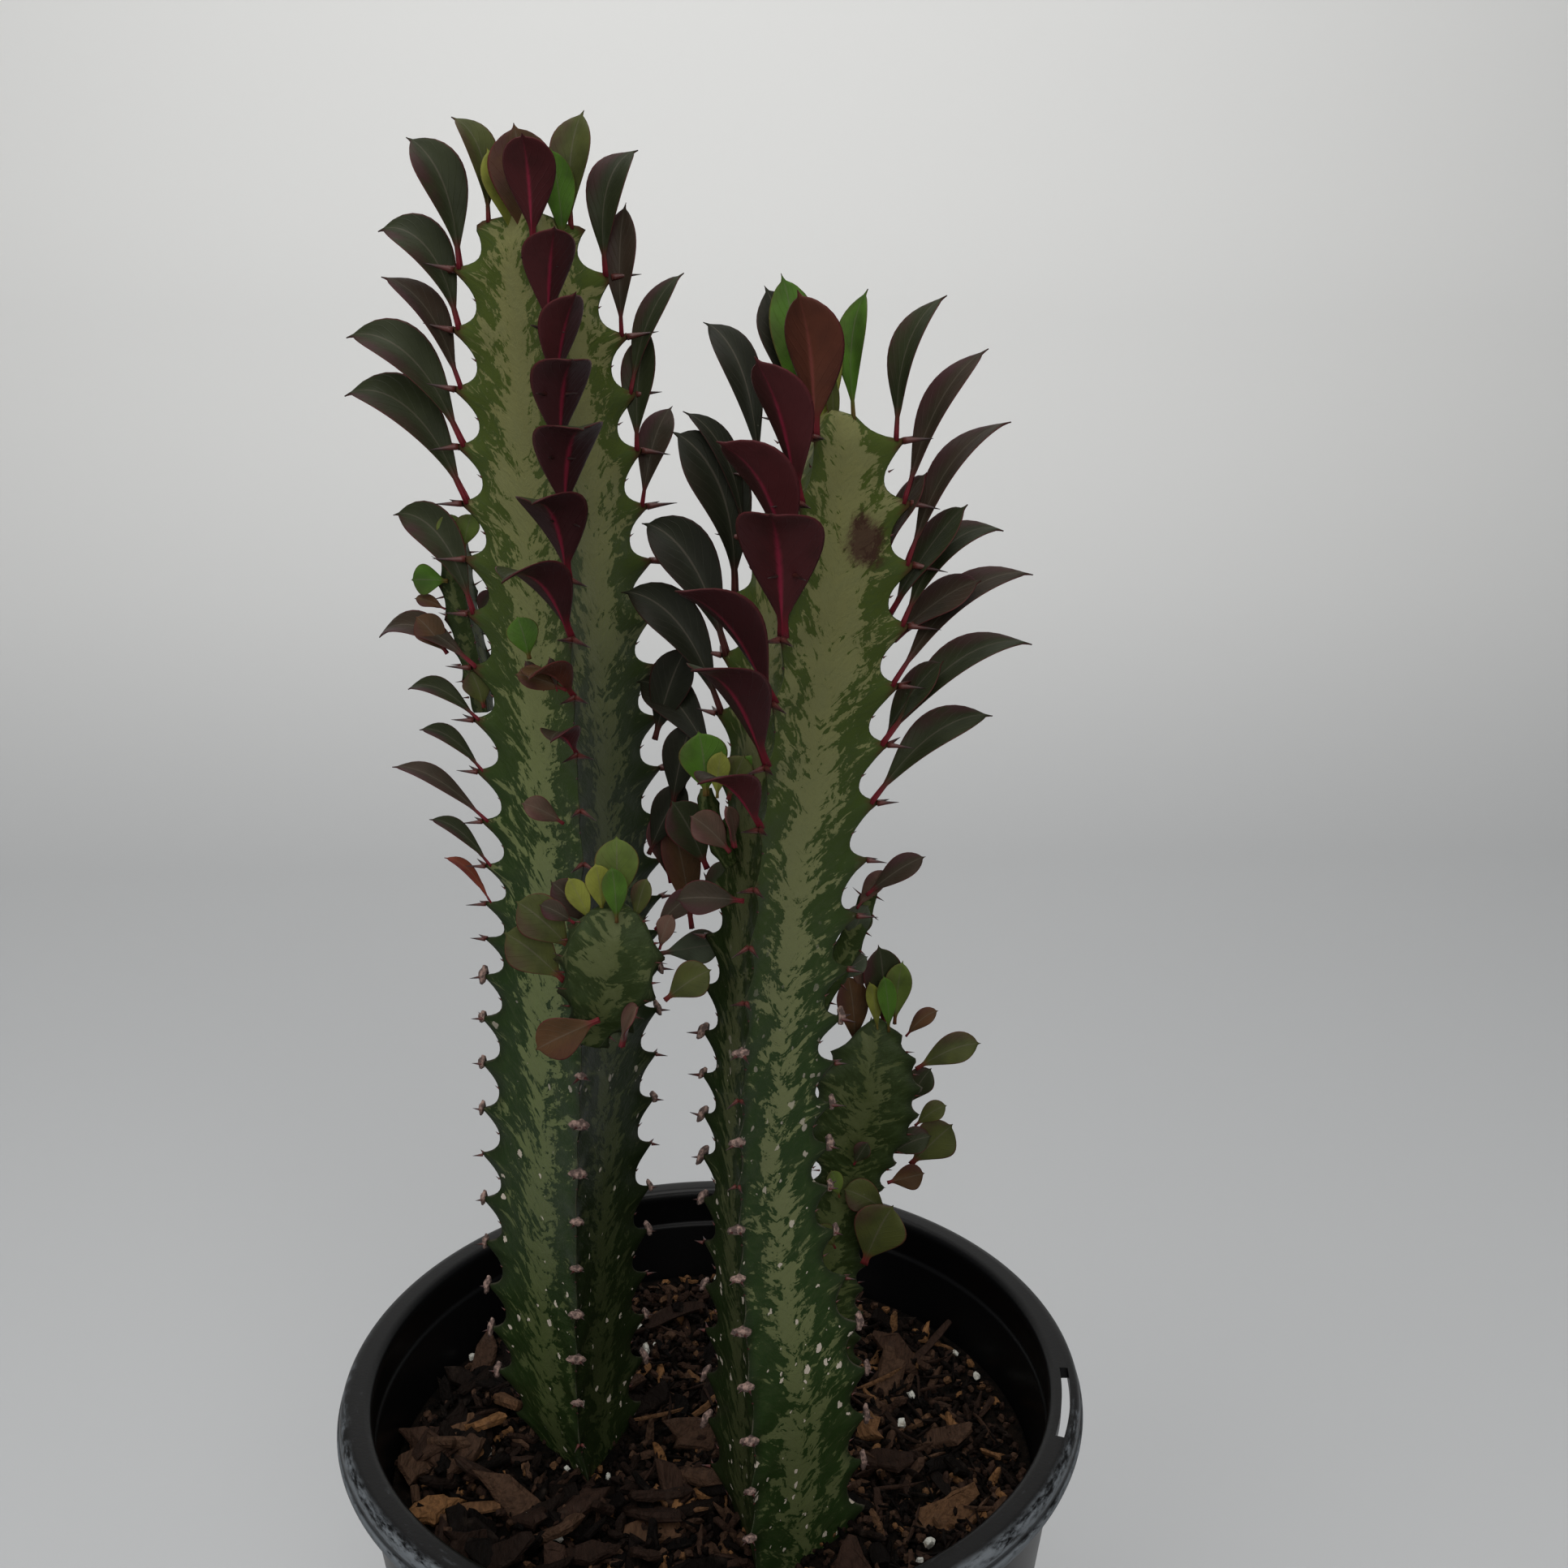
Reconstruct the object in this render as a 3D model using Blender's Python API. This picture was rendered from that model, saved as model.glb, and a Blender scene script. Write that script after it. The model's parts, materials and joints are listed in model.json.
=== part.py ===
"""Potted candelabra euphorbia: two three-ribbed stems, a short third stem and their leaves in a pot."""
import math

import bmesh
import bpy
from mathutils import Vector

MM = 0.001
GAP = 0.0003

# Pot: round, rolled rim with a slot for a plant tag
POT_HEIGHT = 0.178
RIM_RADIUS = 0.100
POT_SIDES = 64
SLOT_RADIUS = 0.0953
SLOT_WIDTH = 0.0022
SLOT_FROM, SLOT_TO = math.radians(-23.3), math.radians(-5.8)
SLOT_STEPS = 6

# Potting mix
SOIL_LEVEL = 0.148
SOIL_RADIUS = 0.0876
SOIL_SIDES = 40
SOIL_BUMP = 0.0016

# Ribs
RIB_FACE_STEPS = (-0.86, -0.4, 0.4, 0.86)
RIB_HOLLOW = 0.05
TOOTH_SHARPNESS = 2.0

# Stems: path points are x, y, height above the mix and rib radius, in millimetres
LEFT_PATH = ((-36, 1.5, 0, 14.5), (-38.5, 1.5, 22, 19), (-37.5, 1, 73, 21), (-35, 0.5, 120, 21.5),
             (-32.5, 0, 165, 20.5), (-33, -0.5, 207, 20.5), (-33.5, -1, 246, 20), (-35, -1.5, 284, 18.5),
             (-36.3, -2, 304, 16.3), (-38, -2, 318, 12.2), (-38, -2, 325, 6))
RIGHT_PATH = ((17.5, -37, 0, 18.5), (15, -37, 13, 19.5), (15, -37, 47, 20), (11, -36.5, 93, 14.5),
              (12, -36, 136, 14.5), (15.5, -35.5, 176, 16.5), (19.5, -35, 214, 18.5),
              (22, -34.5, 232, 19), (24, -34.5, 250, 18), (25.5, -34, 265, 15), (27.3, -34, 276.5, 11),
              (28, -34, 282, 5))
SHORT_PATH = ((30, 31, 0, 13), (31, 31, 28, 12), (35, 30, 54, 10), (40, 30, 70, 10), (42.5, 30, 86, 15),
              (44, 30, 100, 14.5), (46, 30, 111, 8), (47, 30, 115, 3))
LEFT_RIBS = {"front": (8, 0.05), "right": (128, 0.1), "left": (-112, 0.0)}
RIGHT_RIBS = {"front": (-16, -0.15), "right": (104, 0.0), "back": (-136, -0.4)}
SHORT_RIBS = {"left": (-62, 0.0), "right": (58, 0.3), "back": (178, 0.6)}

# Side shoots: path points as above, then rib turn, tooth pitch and tooth height
SHOOTS = {
    "shoot_front": (((-28.6, -29.2, 137, 3), (-27, -31.5, 142, 4.5), (-24.5, -35, 150, 8.5), (-22.5, -36, 159, 11.5),
                     (-21.5, -36, 167, 11), (-21, -36, 173, 6)), 58, 8.5, 3.0),
    "shoot_left": (((-55.5, 15, 208, 3), (-57.5, 16, 222, 4), (-60, 16.5, 236, 4.5), (-60.5, 16.5, 247, 4),
                    (-59.5, 16, 252, 2)), 20, 8, 1.2),
    "shoot_middle": (((5.5, -35, 182, 2), (2.5, -34.5, 188, 2.6), (0.5, -34, 195, 2.6), (0, -34, 200, 1.5)),
                     0, 6, 0.8),
    "shoot_right": (((24.5, -24.5, 139, 2.5), (29, -22, 146, 3.2), (33.5, -20, 154, 3.5), (37, -19, 162, 3.2),
                     (40, -18.5, 170, 1.8)), 30, 7, 1.0),
}

# Leaves: rib, tooth, length, rise, swing, roll, width and outward bend (millimetres and degrees)
LEFT_LEAVES = (
    ("left", 0, 25, 76, 0, -40, 10, 25), ("left", 1, 30, 67, 0, -42, 12, 35), ("left", 2, 30, 50, 0, -40, 12, 60),
    ("left", 3, 30, 54, 8, -32, 10, 35), ("left", 4, 38, 40, 0, -38, 13, 50), ("left", 5, 41, 37, 0, -38, 14, 55),
    ("left", 7, 33, 45, -6, -40, 12, 55), ("left", 8, 29, 10, -6, -38, 11, 60), ("left", 9, 20, 18, 0, -34, 8, 50),
    ("left", 10, 19, 28, 0, -30, 7, 40), ("left", 11, 28, 22, 0, -30, 9, 35), ("left", 12, 20, 32, 0, -28, 7, 40),
    ("front", 0.5, 24, 74, -20, 0, 12, 15), ("front", 2, 22, 58, 8, 0, 12, 25), ("front", 3, 22, 60, 24, 0, 11, 20),
    ("front", 4, 24, 56, 12, 5, 14, 45), ("front", 5, 26, 50, 14, 0, 16, 60), ("front", 6, 25, 46, -28, 5, 16, 60),
    ("front", 7, 29, 32, -40, 12, 15, 60), ("front", 8, 17, 22, -40, 10, 11, 50), ("front", 9, 15, 22, -26, 8, 9, 50),
    ("right", 0, 26, 82, 0, 35, 12, 15), ("right", 1, 29, 74, 0, 38, 12, 30), ("right", 2, 28, 84, 20, 30, 11, 10),
    ("right", 3, 30, 62, -10, 30, 11, 20), ("right", 4, 27, 78, 10, 34, 12, 15), ("right", 5, 25, 62, 14, 36, 11, 20),
)
RIGHT_LEAVES = (
    ("right", 0.45, 23, 82, 0, 35, 9, 15), ("right", 1, 31, 70, 0, 32, 12, 30), ("right", 2, 36, 60, 0, 30, 12, 20),
    ("right", 3, 38, 52, 0, 30, 12, 30), ("right", 4, 32, 40, 0, 34, 13, 45), ("right", 5, 41, 35, 0, 32, 13, 35),
    ("right", 6, 42, 30, 0, 38, 14, 35), ("right", 7, 34, 32, 0, 40, 14, 30),
    ("front", 1, 22, 74, -60, 0, 10, 15), ("front", 2, 29, 68, -38, 10, 14, 15), ("front", 3, 26, 58, -64, 20, 12, 30),
    ("front", 4, 30, 60, 4, 0, 19, 40), ("front", 5, 34, 46, -38, 10, 15, 30), ("front", 6, 36, 42, -18, 5, 16, 35),
    ("front", 7, 24, 34, -24, 5, 13, 40),
    ("back", 1, 32, 72, 0, -30, 13, 15), ("back", 2, 38, 62, 0, -28, 11, 25), ("back", 3, 30, 62, 24, -30, 9, 25),
    ("back", 4, 41, 68, 28, -34, 15, 35), ("back", 5, 38, 50, 10, -32, 13, 30), ("back", 6, 38, 46, 20, -30, 12, 35),
    ("back", 7, 32, 32, 0, -32, 13, 30),
)
LEAF_STATIONS = (0.0, 0.13, 0.3, 0.48, 0.65, 0.82, 0.94, 1.0)
LEAF_THICKNESS = 0.0011
LEAF_FOLD = math.radians(20)
LEAF_CLEARANCE = 0.8

COLOURS = {
    "pot_plastic": ((0.035, 0.036, 0.038), 0.42), "potting_mix": ((0.06, 0.045, 0.035), 0.95),
    "stem_skin": ((0.10, 0.16, 0.06), 0.5), "leaf_skin": ((0.06, 0.09, 0.05), 0.4),
}


def material(name):
    """Return the named material, made on first use."""
    found = bpy.data.materials.get(name)
    if found:
        return found
    colour, roughness = COLOURS[name]
    made = bpy.data.materials.new(name)
    made.use_nodes = True
    shader = made.node_tree.nodes["Principled BSDF"]
    shader.inputs["Base Color"].default_value = (*colour, 1.0)
    shader.inputs["Roughness"].default_value = roughness
    return made


def add_object(name, points, faces, material_name, smooth=True):
    """Add a closed mesh object with outward faces."""
    mesh = bpy.data.meshes.new(name)
    mesh.from_pydata([tuple(point) for point in points], [], faces)
    shape = bmesh.new()
    shape.from_mesh(mesh)
    bmesh.ops.recalc_face_normals(shape, faces=shape.faces)
    shape.to_mesh(mesh)
    shape.free()
    mesh.materials.append(material(material_name))
    for polygon in mesh.polygons:
        polygon.use_smooth = smooth
    obj = bpy.data.objects.new(name, mesh)
    bpy.context.scene.collection.objects.link(obj)
    return obj


def ring_faces(rings, sides):
    """Return side faces between successive rings and a cap on each end."""
    faces = []
    for level in range(rings - 1):
        low, high = level * sides, (level + 1) * sides
        for k in range(sides):
            n = (k + 1) % sides
            faces.append((low + k, low + n, high + n, high + k))
    faces.append(tuple(reversed(range(sides))))
    faces.append(tuple((rings - 1) * sides + k for k in range(sides)))
    return faces


def follow(path, height):
    """Return the smooth path's x, y and rib radius at a height, all in millimetres."""
    last = len(path) - 1
    k = max(i for i in range(last) if path[i][2] <= height or i == 0)
    span = path[k + 1][2] - path[k][2]
    t = min(max((height - path[k][2]) / span, 0.0), 1.0)
    values = []
    for axis in (0, 1, 3):
        a, b = path[k][axis], path[k + 1][axis]
        before, after = path[max(k - 1, 0)], path[min(k + 2, last)]
        slope_a = (b - before[axis]) / (path[k + 1][2] - before[2]) * span
        slope_b = (after[axis] - a) / (after[2] - path[k][2]) * span
        values.append((2 * t**3 - 3 * t**2 + 1) * a + (t**3 - 2 * t**2 + t) * slope_a
                      + (3 * t**2 - 2 * t**3) * b + (t**3 - t**2) * slope_b)
    return values


def tooth_levels(top, pitch, tight, tight_level, tight_depth):
    """Return tooth heights from the tip down; the pitch is tighter round one level."""
    levels = [top + 0.8 * pitch, top]
    while levels[-1] > 0:
        squeeze = tight_depth * math.exp(-((levels[-1] - tight_level) / tight) ** 2)
        levels.append(levels[-1] - pitch + squeeze)
    return levels


def level_at(levels, index):
    """Return the height of a fractional tooth index."""
    k = min(max(int(math.floor(index)), 0), len(levels) - 2)
    return levels[k] + (levels[k + 1] - levels[k]) * (index - k)


def index_at(levels, height):
    """Return the fractional tooth index at a height."""
    for k in range(len(levels) - 1):
        if height >= levels[k + 1]:
            return k + (levels[k] - height) / (levels[k] - levels[k + 1])
    return float(len(levels) - 1)


def rib_ring(centre, radius, ribs, phase, tooth, turn=None):
    """Return one ring of a three-ribbed section, in metres."""
    points = []
    order = sorted(ribs.values())
    for azimuth, offset in order:
        wave = phase - offset
        away = abs(wave - round(wave))
        crest = radius + tooth * (1 - 2 * away) ** TOOTH_SHARPNESS
        here = math.radians(azimuth)
        points.append((crest * math.sin(here), -crest * math.cos(here)))
        middle = here + math.radians(60)
        for u in RIB_FACE_STEPS:
            inward = (0.5 - RIB_HOLLOW * math.cos(math.pi * u / 2) ** 2) * radius
            along = 0.866 * u * radius
            points.append((inward * math.sin(middle) + along * math.cos(middle),
                           -inward * math.cos(middle) + along * math.sin(middle)))
    ring = []
    for x, y in points:
        offset = Vector((x, y, 0))
        if turn:
            offset = turn @ offset
        ring.append((Vector(centre) + offset) * MM)
    return ring


def build_stem(name, path, ribs, levels, tooth):
    """Build a main stem from level rings, three to each tooth."""
    rings = []
    lowest, highest = path[0][2] + GAP / MM, path[-1][2]
    heights = [lowest]
    index = index_at(levels, lowest)
    index = math.floor(index * 3) / 3
    while index > 0:
        height = level_at(levels, index)
        if height > lowest + 1.5 and height < highest - 1:
            heights.append(height)
        index -= 1 / 3
    heights.append(highest)
    for height in heights:
        x, y, radius = follow(path, height)
        size = tooth(height) if lowest + 2 < height < highest else 0
        rings.append(rib_ring((x, y, height + SOIL_LEVEL / MM), radius, ribs, index_at(levels, height), size))
    points = [point for ring in rings for point in ring]
    return add_object(name, points, ring_faces(len(rings), len(rings[0])), "stem_skin")


def build_shoot(name, path, turn, pitch, tooth):
    """Build a side shoot whose rings stand square to its path."""
    ribs = {0: (turn - 120, 0.0), 1: (turn, 0.33), 2: (turn + 120, 0.66)}
    rings = []
    lowest, highest = path[0][2], path[-1][2]
    count = max(6, round((highest - lowest) / (pitch / 2)))
    for k in range(count + 1):
        height = lowest + (highest - lowest) * k / count
        x, y, radius = follow(path, height)
        nearby = min(height + 0.5, highest), max(height - 0.5, lowest)
        ahead, behind = (follow(path, level) for level in nearby)
        heading = Vector((ahead[0] - behind[0], ahead[1] - behind[1], nearby[0] - nearby[1]))
        square = Vector((0, 0, 1)).rotation_difference(heading.normalized())
        size = tooth if 1 < k < count else 0
        rings.append(rib_ring((x, y, height + SOIL_LEVEL / MM), radius, ribs, height / pitch, size, square))
    points = [point for ring in rings for point in ring]
    return add_object(name, points, ring_faces(len(rings), len(rings[0])), "stem_skin")


def build_leaf(name, path, ribs, levels, tooth, spec):
    """Build one folded leaf standing just clear of its tooth."""
    rib, number, length, rise, swing, roll, width, bend = spec
    azimuth, offset = ribs[rib]
    height = level_at(levels, number + offset)
    x, y, radius = follow(path, height)
    reach = radius + tooth(height) + LEAF_CLEARANCE
    rib_angle = math.radians(azimuth)
    base = Vector((x + reach * math.sin(rib_angle), y - reach * math.cos(rib_angle),
                   height + SOIL_LEVEL / MM + LEAF_CLEARANCE))
    facing = math.radians(azimuth + swing)
    outward = Vector((math.sin(facing), -math.cos(facing), 0))
    upward = Vector((0, 0, 1))
    across = upward.cross(outward)
    tilt = math.radians(roll)
    points = []
    place, passed = base.copy(), 0.0
    for station in LEAF_STATIONS:
        middle = math.radians(rise + bend * (0.5 - (station + passed) / 2))
        place = place + (outward * math.cos(middle) + upward * math.sin(middle)) * length * (station - passed)
        passed = station
        angle = math.radians(rise + bend * (0.5 - station))
        normal = upward * math.cos(angle) - outward * math.sin(angle)
        side = across * math.cos(tilt) + normal * math.sin(tilt)
        face = normal * math.cos(tilt) - across * math.sin(tilt)
        blade = min(max((station - 0.06) / 0.94, 0.0), 1.0)
        half = width / 2 * max(math.sin(math.pi * blade**1.35) ** 0.85, 0.13 if station < 0.5 else 0.05)
        lift = half * math.sin(LEAF_FOLD)
        half *= math.cos(LEAF_FOLD)
        thick = LEAF_THICKNESS / MM / 2
        for v, w in ((-1, 0.35), (0, 1), (1, 0.35), (1, -0.35), (0, -1), (-1, -0.35)):
            points.append((place + side * half * v + face * (lift * abs(v) + thick * w)) * MM)
    return add_object(name, points, ring_faces(len(LEAF_STATIONS), 6), "leaf_skin")


def turned(name, profile, sides, material_name, smooth=True):
    """Turn a closed profile that starts and ends on the axis."""
    points, faces = [], []
    body = profile[1:-1]
    points.append((0, 0, profile[0][1]))
    for radius, height in body:
        for k in range(sides):
            angle = 2 * math.pi * k / sides
            points.append((radius * math.cos(angle), radius * math.sin(angle), height))
    points.append((0, 0, profile[-1][1]))
    last = len(points) - 1
    for k in range(sides):
        n = (k + 1) % sides
        faces.append((0, 1 + n, 1 + k))
        top = 1 + (len(body) - 1) * sides
        faces.append((last, top + k, top + n))
        for level in range(len(body) - 1):
            low, high = 1 + level * sides, 1 + (level + 1) * sides
            faces.append((low + k, low + n, high + n, high + k))
    return add_object(name, points, faces, material_name, smooth)


def build_pot():
    """Build the pot with its rolled rim, stacking ledge and tag slot."""
    profile = ((0, 0), (0.0712, 0), (0.0733, 0.0020), (0.0934, 0.1610), (0.0937, 0.1700), (0.0941, 0.1748),
               (0.0972, 0.1748), (0.0977, 0.1740), (0.0979, 0.1712), (0.0986, 0.1706), (0.0996, 0.1709),
               (RIM_RADIUS, 0.1721), (0.0999, 0.1732), (0.0992, 0.1739), (0.0992, 0.1748), (0.0990, 0.1762),
               (0.0981, 0.1774), (0.0966, POT_HEIGHT), (0.0925, POT_HEIGHT), (0.0912, 0.1772), (0.0907, 0.1755),
               (0.0912, 0.1665), (0.0903, 0.1655), (0.0698, 0.0045), (0.0680, 0.0030), (0, 0.0030))
    pot = turned("pot", profile, POT_SIDES, "pot_plastic")
    points = []
    for height in (POT_HEIGHT - 0.0045, POT_HEIGHT + 0.0015):
        for k in range(SLOT_STEPS + 1):
            angle = SLOT_FROM + (SLOT_TO - SLOT_FROM) * k / SLOT_STEPS
            for radius in (SLOT_RADIUS - SLOT_WIDTH / 2, SLOT_RADIUS + SLOT_WIDTH / 2):
                points.append((radius * math.cos(angle), radius * math.sin(angle), height))
    upper = 2 * (SLOT_STEPS + 1)
    faces = [(0, 1, upper + 1, upper), (upper - 2, upper - 1, 2 * upper - 1, 2 * upper - 2)]
    for k in range(0, 2 * SLOT_STEPS, 2):
        faces += [(k, k + 1, k + 3, k + 2), (upper + k, upper + k + 1, upper + k + 3, upper + k + 2),
                  (k, k + 2, upper + k + 2, upper + k), (k + 1, k + 3, upper + k + 3, upper + k + 1)]
    cutter = add_object("tag_slot_cutter", points, faces, "pot_plastic", smooth=False)
    cutter.hide_render = True
    cutter.display_type = "WIRE"
    slot = pot.modifiers.new("tag_slot", "BOOLEAN")
    slot.operation = "DIFFERENCE"
    slot.solver = "EXACT"
    slot.object = cutter
    return pot


def soil_height(x, y):
    """Return the mix's surface height: uneven, but level round the stems and the pot wall."""
    wave = math.sin(x * 170 + 1.3) * math.cos(y * 210 + 0.4) + 0.6 * math.sin((x + y) * 330 + 2.1)
    edge = SOIL_RADIUS - math.hypot(x, y)
    calm = min(max(edge / 0.012, 0.0), 1.0)
    for path in (LEFT_PATH, RIGHT_PATH, SHORT_PATH):
        px, py, _, radius = path[0]
        away = math.hypot(x - px * MM, y - py * MM) - radius * MM - 0.006
        calm *= min(max(away / 0.012, 0.0), 1.0)
    return SOIL_LEVEL + SOIL_BUMP * wave * calm


def build_soil():
    """Build the block of potting mix that fills the pot."""
    radii = (0.012, 0.024, 0.036, 0.048, 0.058, 0.068, 0.078, SOIL_RADIUS)
    points, faces = [(0, 0, 0.0035), (0, 0, soil_height(0, 0))], []
    rings = [(0.0694, 0.0058), (0.0681, 0.0035)]
    starts = []
    for radius in radii:
        starts.append(len(points))
        for k in range(SOIL_SIDES):
            angle = 2 * math.pi * k / SOIL_SIDES
            x, y = radius * math.cos(angle), radius * math.sin(angle)
            points.append((x, y, soil_height(x, y)))
    for radius, height in rings:
        starts.append(len(points))
        for k in range(SOIL_SIDES):
            angle = 2 * math.pi * k / SOIL_SIDES
            points.append((radius * math.cos(angle), radius * math.sin(angle), height))
    for k in range(SOIL_SIDES):
        n = (k + 1) % SOIL_SIDES
        faces.append((1, starts[0] + k, starts[0] + n))
        faces.append((0, starts[-1] + n, starts[-1] + k))
        for inner, outer in zip(starts, starts[1:]):
            faces.append((inner + k, outer + k, outer + n, inner + n))
    return add_object("soil", points, faces, "potting_mix")


def build():
    """Build every piece of the plant and its pot."""
    for obj in list(bpy.data.objects):
        bpy.data.objects.remove(obj, do_unlink=True)
    build_pot()
    build_soil()
    left_levels = tooth_levels(312, 13.35, 22, 158, 3.8)
    right_levels = tooth_levels(275, 13.6, 32, 125, 3.0)
    short_levels = tooth_levels(108, 8, 20, 40, 0)
    left_tooth = lambda height: 4.0 + 1.4 * min(max((height - 120) / 80, 0), 1)
    right_tooth = lambda height: ((3.2 + 1.6 * min(max((height - 110) / 90, 0), 1))
                                  * min(max((286 - height) / 11, 0.2), 1))
    build_stem("stem_left", LEFT_PATH, LEFT_RIBS, left_levels, left_tooth)
    build_stem("stem_right", RIGHT_PATH, RIGHT_RIBS, right_levels, right_tooth)
    build_stem("stem_short", SHORT_PATH, SHORT_RIBS, short_levels, lambda height: 1.5)
    for name, (path, turn, pitch, tooth) in SHOOTS.items():
        build_shoot(name, path, turn, pitch, tooth)
    sides = (("left", LEFT_PATH, LEFT_RIBS, left_levels, left_tooth, LEFT_LEAVES),
             ("right", RIGHT_PATH, RIGHT_RIBS, right_levels, right_tooth, RIGHT_LEAVES))
    for side, path, ribs, levels, tooth, leaves in sides:
        for spec in leaves:
            name = f"leaf_{side}_{spec[0]}_{round(spec[1]):02d}"
            build_leaf(name, path, ribs, levels, tooth, spec)


build()
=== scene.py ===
"""Looks for a potted candelabra euphorbia.

Two tall three-ribbed stems, a short one, side shoots, folded leaves and spines stand in bark mix
in a round black nursery pot. Lengths inside the classes are in millimetres above the mix.
"""

import json
import logging
import math
from collections.abc import Iterable, Sequence
from dataclasses import dataclass, field
from enum import Enum

import bpy
import numpy as np
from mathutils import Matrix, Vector

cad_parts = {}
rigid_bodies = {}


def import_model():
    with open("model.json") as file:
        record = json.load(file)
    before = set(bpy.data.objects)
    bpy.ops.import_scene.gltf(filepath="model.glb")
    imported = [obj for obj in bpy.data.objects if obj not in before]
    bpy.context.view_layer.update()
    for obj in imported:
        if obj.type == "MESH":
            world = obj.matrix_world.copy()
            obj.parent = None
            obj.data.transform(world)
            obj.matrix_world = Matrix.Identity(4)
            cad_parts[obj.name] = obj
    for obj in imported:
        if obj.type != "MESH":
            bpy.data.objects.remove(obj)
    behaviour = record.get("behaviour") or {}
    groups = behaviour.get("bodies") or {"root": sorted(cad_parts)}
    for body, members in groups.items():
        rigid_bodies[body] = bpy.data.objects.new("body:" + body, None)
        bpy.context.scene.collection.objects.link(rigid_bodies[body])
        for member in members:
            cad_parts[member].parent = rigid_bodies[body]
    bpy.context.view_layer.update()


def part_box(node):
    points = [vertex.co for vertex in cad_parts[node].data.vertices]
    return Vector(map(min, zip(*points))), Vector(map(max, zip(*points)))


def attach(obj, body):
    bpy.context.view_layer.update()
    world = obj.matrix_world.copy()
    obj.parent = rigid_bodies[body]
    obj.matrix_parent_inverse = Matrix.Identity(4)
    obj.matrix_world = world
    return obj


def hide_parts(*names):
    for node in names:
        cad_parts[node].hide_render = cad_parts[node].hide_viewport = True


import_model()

LOG = logging.getLogger("euphorbia")
MM = 0.001
SEED = 7
HALF_FACE = 0.866
FOOT_SHARE = 0.72
MIX_LEVEL = float(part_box("stem_left")[0][2])
RIM_RADIUS = float(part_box("pot")[1][0])
RIM_TOP = float(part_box("pot")[1][2])
MIX_RADIUS = float(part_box("soil")[1][0])

Colour = tuple[float, float, float]
Knot = tuple[float, float, float, float]
Columns = tuple[list[np.ndarray], list[float], list[np.ndarray], list[np.ndarray]]


class Tone(Enum):
    """Leaf colourings: upper face, underside, midrib below and how red the stalk is."""

    DARK = ((0.019, 0.023, 0.010), (0.030, 0.009, 0.010), (0.125, 0.012, 0.024), 1.0)
    WINE = ((0.028, 0.019, 0.013), (0.042, 0.010, 0.011), (0.135, 0.012, 0.026), 1.0)
    # Painted shade: a near-black tone for leaves that sit in shade, on the back rib and between the stems.
    BLACK = ((0.0090, 0.0098, 0.0060), (0.016, 0.009, 0.009), (0.030, 0.010, 0.012), 0.35)
    BROWN = ((0.060, 0.030, 0.014), (0.062, 0.020, 0.012), (0.110, 0.030, 0.024), 0.9)
    YOUNG = ((0.070, 0.100, 0.020), (0.082, 0.094, 0.022), (0.110, 0.110, 0.045), 0.7)
    BRIGHT = ((0.045, 0.100, 0.012), (0.080, 0.118, 0.018), (0.100, 0.125, 0.035), 0.6)
    YELLOW = ((0.140, 0.150, 0.026), (0.125, 0.130, 0.028), (0.140, 0.130, 0.050), 0.4)
    OLIVE = ((0.046, 0.052, 0.014), (0.056, 0.044, 0.018), (0.100, 0.050, 0.034), 0.9)
    GREY = ((0.046, 0.056, 0.036), (0.050, 0.052, 0.034), (0.070, 0.064, 0.048), 0.6)
    WITHERED = ((0.150, 0.032, 0.018), (0.130, 0.026, 0.016), (0.160, 0.036, 0.026), 1.0)
    PINK = ((0.080, 0.046, 0.034), (0.115, 0.036, 0.036), (0.160, 0.034, 0.044), 0.9)


def add_node(tree: bpy.types.NodeTree, kind: str, settings: dict | None,
             values: dict | None) -> bpy.types.Node:
    """Add a node to a tree.

    Args:
        tree: the shader or Geometry Nodes tree.
        kind: the node's type.
        settings: its properties, set before its sockets.
        values: values or links by socket name or place.

    Returns:
        The new node.
    """
    made = tree.nodes.new(kind)
    for key, value in (settings or {}).items():
        setattr(made, key, value)
    for key, value in (values or {}).items():
        value = value.socket if isinstance(value, Sock) else value
        if isinstance(value, bpy.types.NodeSocket):
            tree.links.new(value, made.inputs[key])
        else:
            made.inputs[key].default_value = value
    return made


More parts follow.
